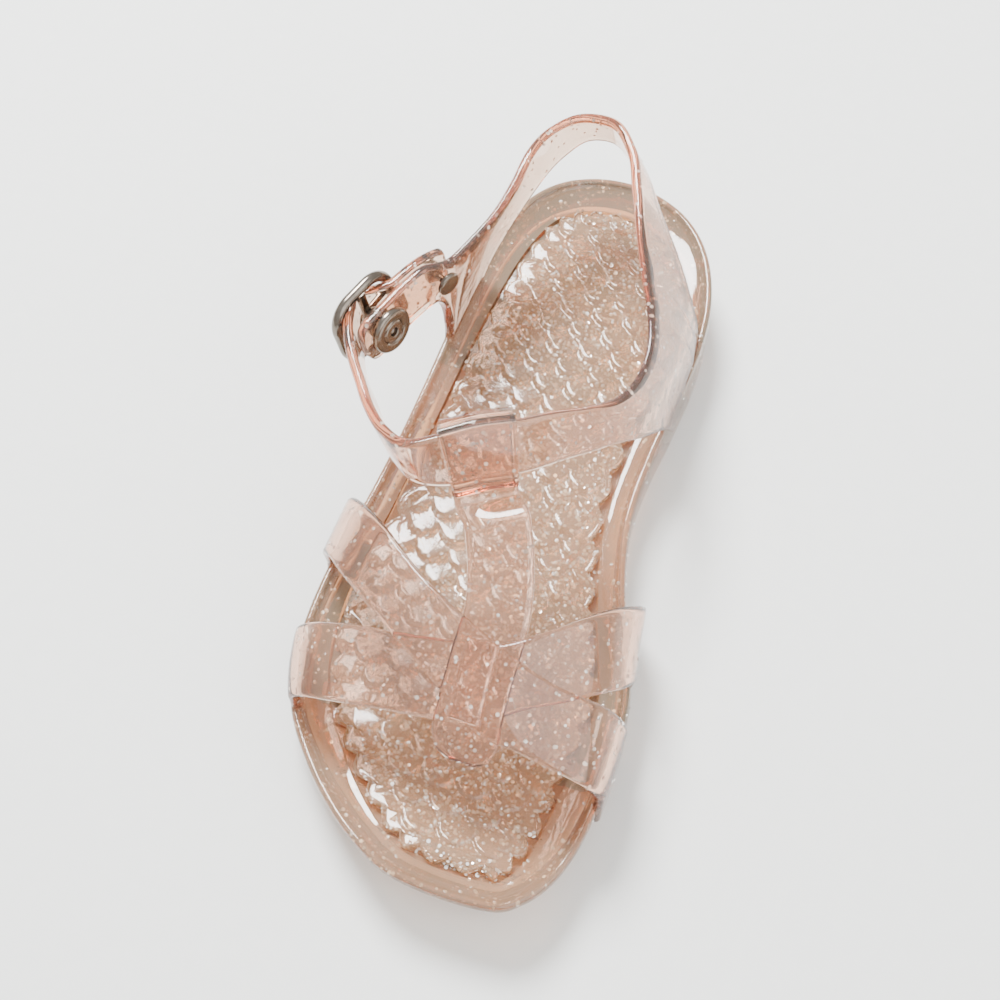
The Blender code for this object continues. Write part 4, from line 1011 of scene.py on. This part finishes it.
glitter_film = film("silver_film_punched")
for name, source, slot, count, deepest in (
    ("glitter_in_sole", sole, "clear_vinyl", 3400, 0.00035),
    ("glitter_in_footbed", footbed, "glitter_vinyl", 7600, 0.00024),
    ("glitter_in_front_straps", vamp, "strap_vinyl", 520, 0.00040),
    ("glitter_in_ring_strap", ankle, "strap_vinyl", 520, 0.00040),
):
    plates = flakes(name, source, count, deepest)

# Buckle
# A cast frame with a centre bar and a boss, nickel plated and gone dull, with a bent wire prong. A rivet
# with a turned head holds it to the tab, and a domed stud holds the strap's tail.
PRONG_WIRE = 0.0014
RIVET_DIAMETER = 0.0095
RIVET_THICKNESS = 0.0015
SHANK_DIAMETER = 0.0030
BOSS_DIAMETER = 0.0060
STUD_DIAMETER = 0.0044
STUD_HEIGHT = 0.0016
STUD_RIM = 0.0004
STUD_SHANK = 0.0016
NUB_DIAMETER = 0.0050
NUB_THICKNESS = 0.0009
BOSS_EDGE = 0.0003  # rounding of the boss
WEAR_SIZE = 0.0025  # of the places worn dull
GRIT_SIZE = 0.0004
GRIT_DEPTH = 0.00003
BOSS_LOW = STRAP_THICKNESS / 2 + GAP - TAB_DEPTH


def wire(path, radius, sides=20, closed=False, domed=False):
    """A round wire: a circle carried square to a path, flat or domed at its ends."""
    path = np.asarray(path, float)
    radius = np.full(len(path), radius)
    if domed:
        ahead = unit(path[-1] - path[-2])
        turn = np.linspace(0, math.pi / 2, 6)[1:]
        path = np.concatenate([path, path[-1] + ahead * (radius[-1] * np.sin(turn))[:, None]])
        radius = np.concatenate([radius, radius[-1] * np.maximum(np.cos(turn), 0.02)])
    ahead = unit(np.roll(path, -1, 0) - np.roll(path, 1, 0) if closed else np.gradient(path, axis=0))
    side = unit(np.cross(ahead, np.array([0.0, 0.0, 1.0])))
    other = np.cross(ahead, side)
    angle = np.linspace(0, 2 * math.pi, sides, endpoint=False)[None, :, None]
    ring = np.cos(angle) * side[:, None] + np.sin(angle) * other[:, None]
    points = path[:, None] + radius[:, None, None] * ring
    faces = grid_faces(len(path), sides, closed_rows=closed, closed_columns=True).tolist()
    if not closed:
        faces += [list(range(sides)), list(range((len(path) - 1) * sides, len(path) * sides))]
    return points.reshape(-1, 3), faces


def turned(profile, origin, axes, sides=64):
    """A turned piece: rows of radius and height carried round the last of three axes."""
    along, up, out = axes
    profile = np.asarray(profile, float)
    angle = np.linspace(0, 2 * math.pi, sides, endpoint=False)
    ring = np.cos(angle)[:, None] * along + np.sin(angle)[:, None] * up
    points = origin + profile[:, 0, None, None] * ring + profile[:, 1, None, None] * out
    return points.reshape(-1, 3), grid_faces(len(profile), sides, closed_columns=True).tolist()


def together(shapes):
    """Several shapes as one list of points and one of faces."""
    points, faces, start = [], [], 0
    for shape_points, shape_faces in shapes:
        points.append(shape_points)
        faces += [[corner + start for corner in face] for face in shape_faces]
        start += len(shape_points)
    return np.concatenate(points), faces


def plated(name, bright, dull, roughness):
    """Nickel plate over a zinc casting: dull grey-brown where handled, with fine scratches."""
    made, tree, shader, place = new_material(name)
    wear = noise(tree, place, WEAR_SIZE, 4.0)
    tree.links.new(between(tree, wear, bright, dull), shader.inputs["Base Color"])
    tree.links.new(spread(tree, wear, roughness, roughness * 1.8), shader.inputs["Roughness"])
    grit = {"Height": noise(tree, place, GRIT_SIZE, 2.0), "Distance": GRIT_DEPTH, "Strength": 0.5}
    tree.links.new(add(tree, "ShaderNodeBump", grit).outputs[0], shader.inputs["Normal"])
    shader.inputs["Metallic"].default_value = 1.0
    return made


nickel = plated("nickel_plate_cast", "#958C82", "#574F48", 0.14)


def frame_path(corner_steps=12):
    """Rounded rectangle through the middle of the frame's wire."""
    centre = np.array([BUCKLE_LENGTH, BUCKLE_WIDTH]) / 2 - FRAME_WIRE / 2 - BUCKLE_CORNER
    angle = (np.linspace(0, math.pi / 2, corner_steps + 1) + math.pi / 2 * np.arange(4)[:, None]).ravel()
    signs = np.repeat([[1, 1], [-1, 1], [-1, -1], [1, -1]], corner_steps + 1, axis=0)
    flat = signs * centre + BUCKLE_CORNER * np.stack([np.cos(angle), np.sin(angle)], -1)
    return np.column_stack([flat, np.zeros(len(flat))])


bar_end = (BUCKLE_WIDTH - FRAME_WIRE) / 2
bar_path = np.array([(0, share * bar_end, -BAR_SINK) for share in (-1, -0.5, 0, 0.5, 1)])
boss_high = -BAR_SINK - 0.7 * BAR_WIRE / 2
boss = [
    (0, BOSS_LOW),
    (0.92 * BOSS_DIAMETER / 2, BOSS_LOW),
    (BOSS_DIAMETER / 2, BOSS_LOW + BOSS_EDGE),
    (BOSS_DIAMETER / 2, boss_high - BOSS_EDGE),
    (0.92 * BOSS_DIAMETER / 2, boss_high),
    (0, boss_high),
]
buckle = new_piece(
    "buckle_frame_cast",
    *together(
        [
            wire(at_buckle(frame_path()), FRAME_WIRE / 2, sides=24, closed=True),
            wire(at_buckle(bar_path), BAR_WIRE / 2),
            turned(boss, BUCKLE_MIDDLE, buckle_axes()),
        ]
    ),
    nickel,
)
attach(buckle, "root")
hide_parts("buckle_frame")

reach = (BAR_WIRE + PRONG_WIRE) / 2 + GAP
rest = (FRAME_WIRE + PRONG_WIRE) / 2 + GAP
turn = np.linspace(0, math.pi / 2, 9)
hook = np.column_stack([-reach * np.cos(turn), 0 * turn, reach * np.sin(turn) - BAR_SINK])
shaft_end = np.array([BUCKLE_LENGTH / 2 - PRONG_WIRE / 2, 0.0, rest])
shaft = hook[-1] + (shaft_end - hook[-1]) * np.array([0.2, 0.4, 0.6, 0.8, 1.0])[:, None]
prong = new_piece(
    "buckle_prong_wire",
    *wire(at_buckle(np.concatenate([hook, shaft])), PRONG_WIRE / 2, domed=True),
    nickel,
)
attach(prong, "root")
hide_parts("buckle_prong")

rivet_shape = np.array([
    # radius (of half RIVET_DIAMETER), depth (of RIVET_THICKNESS)
    (0.00, 0.40),
    (0.15, 0.40),
    (0.18, 0.50),
    (0.20, 0.95),
    (0.24, 1.00),
    (0.44, 1.00),
    (0.49, 0.95),
    (0.54, 0.80),
    (0.59, 0.95),
    (0.64, 1.00),
    (0.86, 1.00),
    (0.94, 0.92),
    (1.00, 0.70),
    (1.00, 0.12),
    (0.97, 0.00),
])
rivet_face = -(TAB_DEPTH + STRAP_THICKNESS / 2 + GAP)
rivet_rows = rivet_shape * np.array([RIVET_DIAMETER / 2, -RIVET_THICKNESS]) + np.array([0, rivet_face])
shank = [(SHANK_DIAMETER / 2, rivet_face), (SHANK_DIAMETER / 2, BOSS_LOW - GAP), (0, BOSS_LOW - GAP)]
rivet_whole = np.concatenate([rivet_rows, shank])
rivet = new_piece("buckle_rivet_turned", *turned(rivet_whole, BUCKLE_MIDDLE, buckle_axes()), nickel)
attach(rivet, "root")
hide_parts("buckle_rivet")

stud_middle, *stud_axes = strap_frame(ring_rows, len(TAB) + STUD_ROW)
tail_face = tail_lift(base_rows(), len(TAB) + STUD_ROW) + STRAP_THICKNESS / 2 + GAP
nub_face = -STRAP_THICKNESS / 2 - GAP
dome_turn = np.linspace(0, math.pi / 2, 10)
stud_shape = np.array([
    (0, nub_face - NUB_THICKNESS),
    (0.80 * NUB_DIAMETER / 2, nub_face - NUB_THICKNESS),
    (0.95 * NUB_DIAMETER / 2, nub_face - 0.85 * NUB_THICKNESS),
    (NUB_DIAMETER / 2, nub_face - 0.6 * NUB_THICKNESS),
    (NUB_DIAMETER / 2, nub_face),
    (STUD_SHANK / 2, nub_face),
    (STUD_SHANK / 2, tail_face),
    (STUD_DIAMETER / 2, tail_face),
    *zip(STUD_DIAMETER / 2 * np.cos(dome_turn), tail_face + STUD_RIM + STUD_HEIGHT * np.sin(dome_turn)),
])
stud = new_piece("tail_stud_pressed", *turned(stud_shape, stud_middle, stud_axes, sides=48), nickel)
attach(stud, "root")
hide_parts("tail_stud")

# Floor
# A plain pale sheet of matt board, wide enough that its edges never show.
FLOOR_SIZE = 6.0
BOARD_GRAIN = 0.004
board, board_tree, board_shader, board_place = new_material("matt_board")
board_colour = between(board_tree, noise(board_tree, board_place, BOARD_GRAIN, 3.0), "#EBEDEB", "#E6E8E6")
board_tree.links.new(board_colour, board_shader.inputs["Base Color"])
board_shader.inputs["Roughness"].default_value = 0.9
floor_mesh = bpy.data.meshes.new("floor")
corners = [(x * FLOOR_SIZE / 2, y * FLOOR_SIZE / 2, 0) for x, y in ((-1, -1), (1, -1), (1, 1), (-1, 1))]
floor_mesh.from_pydata(corners, [], [(0, 1, 2, 3)])
floor_mesh.materials.append(board)
floor = bpy.data.objects.new("floor", floor_mesh)
bpy.context.scene.collection.objects.link(floor)

# Light
# A round soft lamp above and behind the left shoulder, a wider and weaker one to the right, and pale air.
world = bpy.data.worlds.new("studio_air")
bpy.context.scene.world = world
world.use_nodes = True
air = world.node_tree
height = add(air, "ShaderNodeSeparateXYZ", {0: add(air, "ShaderNodeTexCoord").outputs["Generated"]})
rise = add(air, "ShaderNodeMapRange", {"Value": height.outputs["Z"], "From Min": 0.0, "From Max": 0.7})
pale = between(air, rise.outputs["Result"], "#DFD7CE", "#FFFFFF")
air.links.new(pale, air.nodes["Background"].inputs["Color"])
air.nodes["Background"].inputs["Strength"].default_value = 1.15
for name, place, size, power in (
    ("key", (-0.36, 0.42, 0.78), 0.38, 27.0),
    ("fill", (0.60, -0.25, 0.60), 1.10, 7.0),
):
    lamp = bpy.data.lights.new(name, "AREA")
    lamp.shape = "DISK"
    lamp.size = size
    lamp.energy = power
    holder = bpy.data.objects.new(name, lamp)
    holder.location = place
    holder.rotation_euler = (-holder.location).to_track_quat("-Z", "Y").to_euler()
    bpy.context.scene.collection.objects.link(holder)

# Camera
# It stands where the photograph was taken from: in front of the toe, looking down at 62 degrees.
CAMERA_PLACE = np.array([0.0400, -0.1284, 0.2749]) + TO_FRAME
CAMERA_AIM = np.array([0.0, -0.0040, 0.0160])
camera_data = bpy.data.cameras.new("camera")
camera_data.sensor_width = 36.0
camera_data.lens = 52.0
camera = bpy.data.objects.new("camera", camera_data)
camera.location = CAMERA_PLACE
camera.rotation_euler = (Vector(CAMERA_AIM) - camera.location).to_track_quat("-Z", "Y").to_euler()
bpy.context.scene.collection.objects.link(camera)
bpy.context.scene.camera = camera
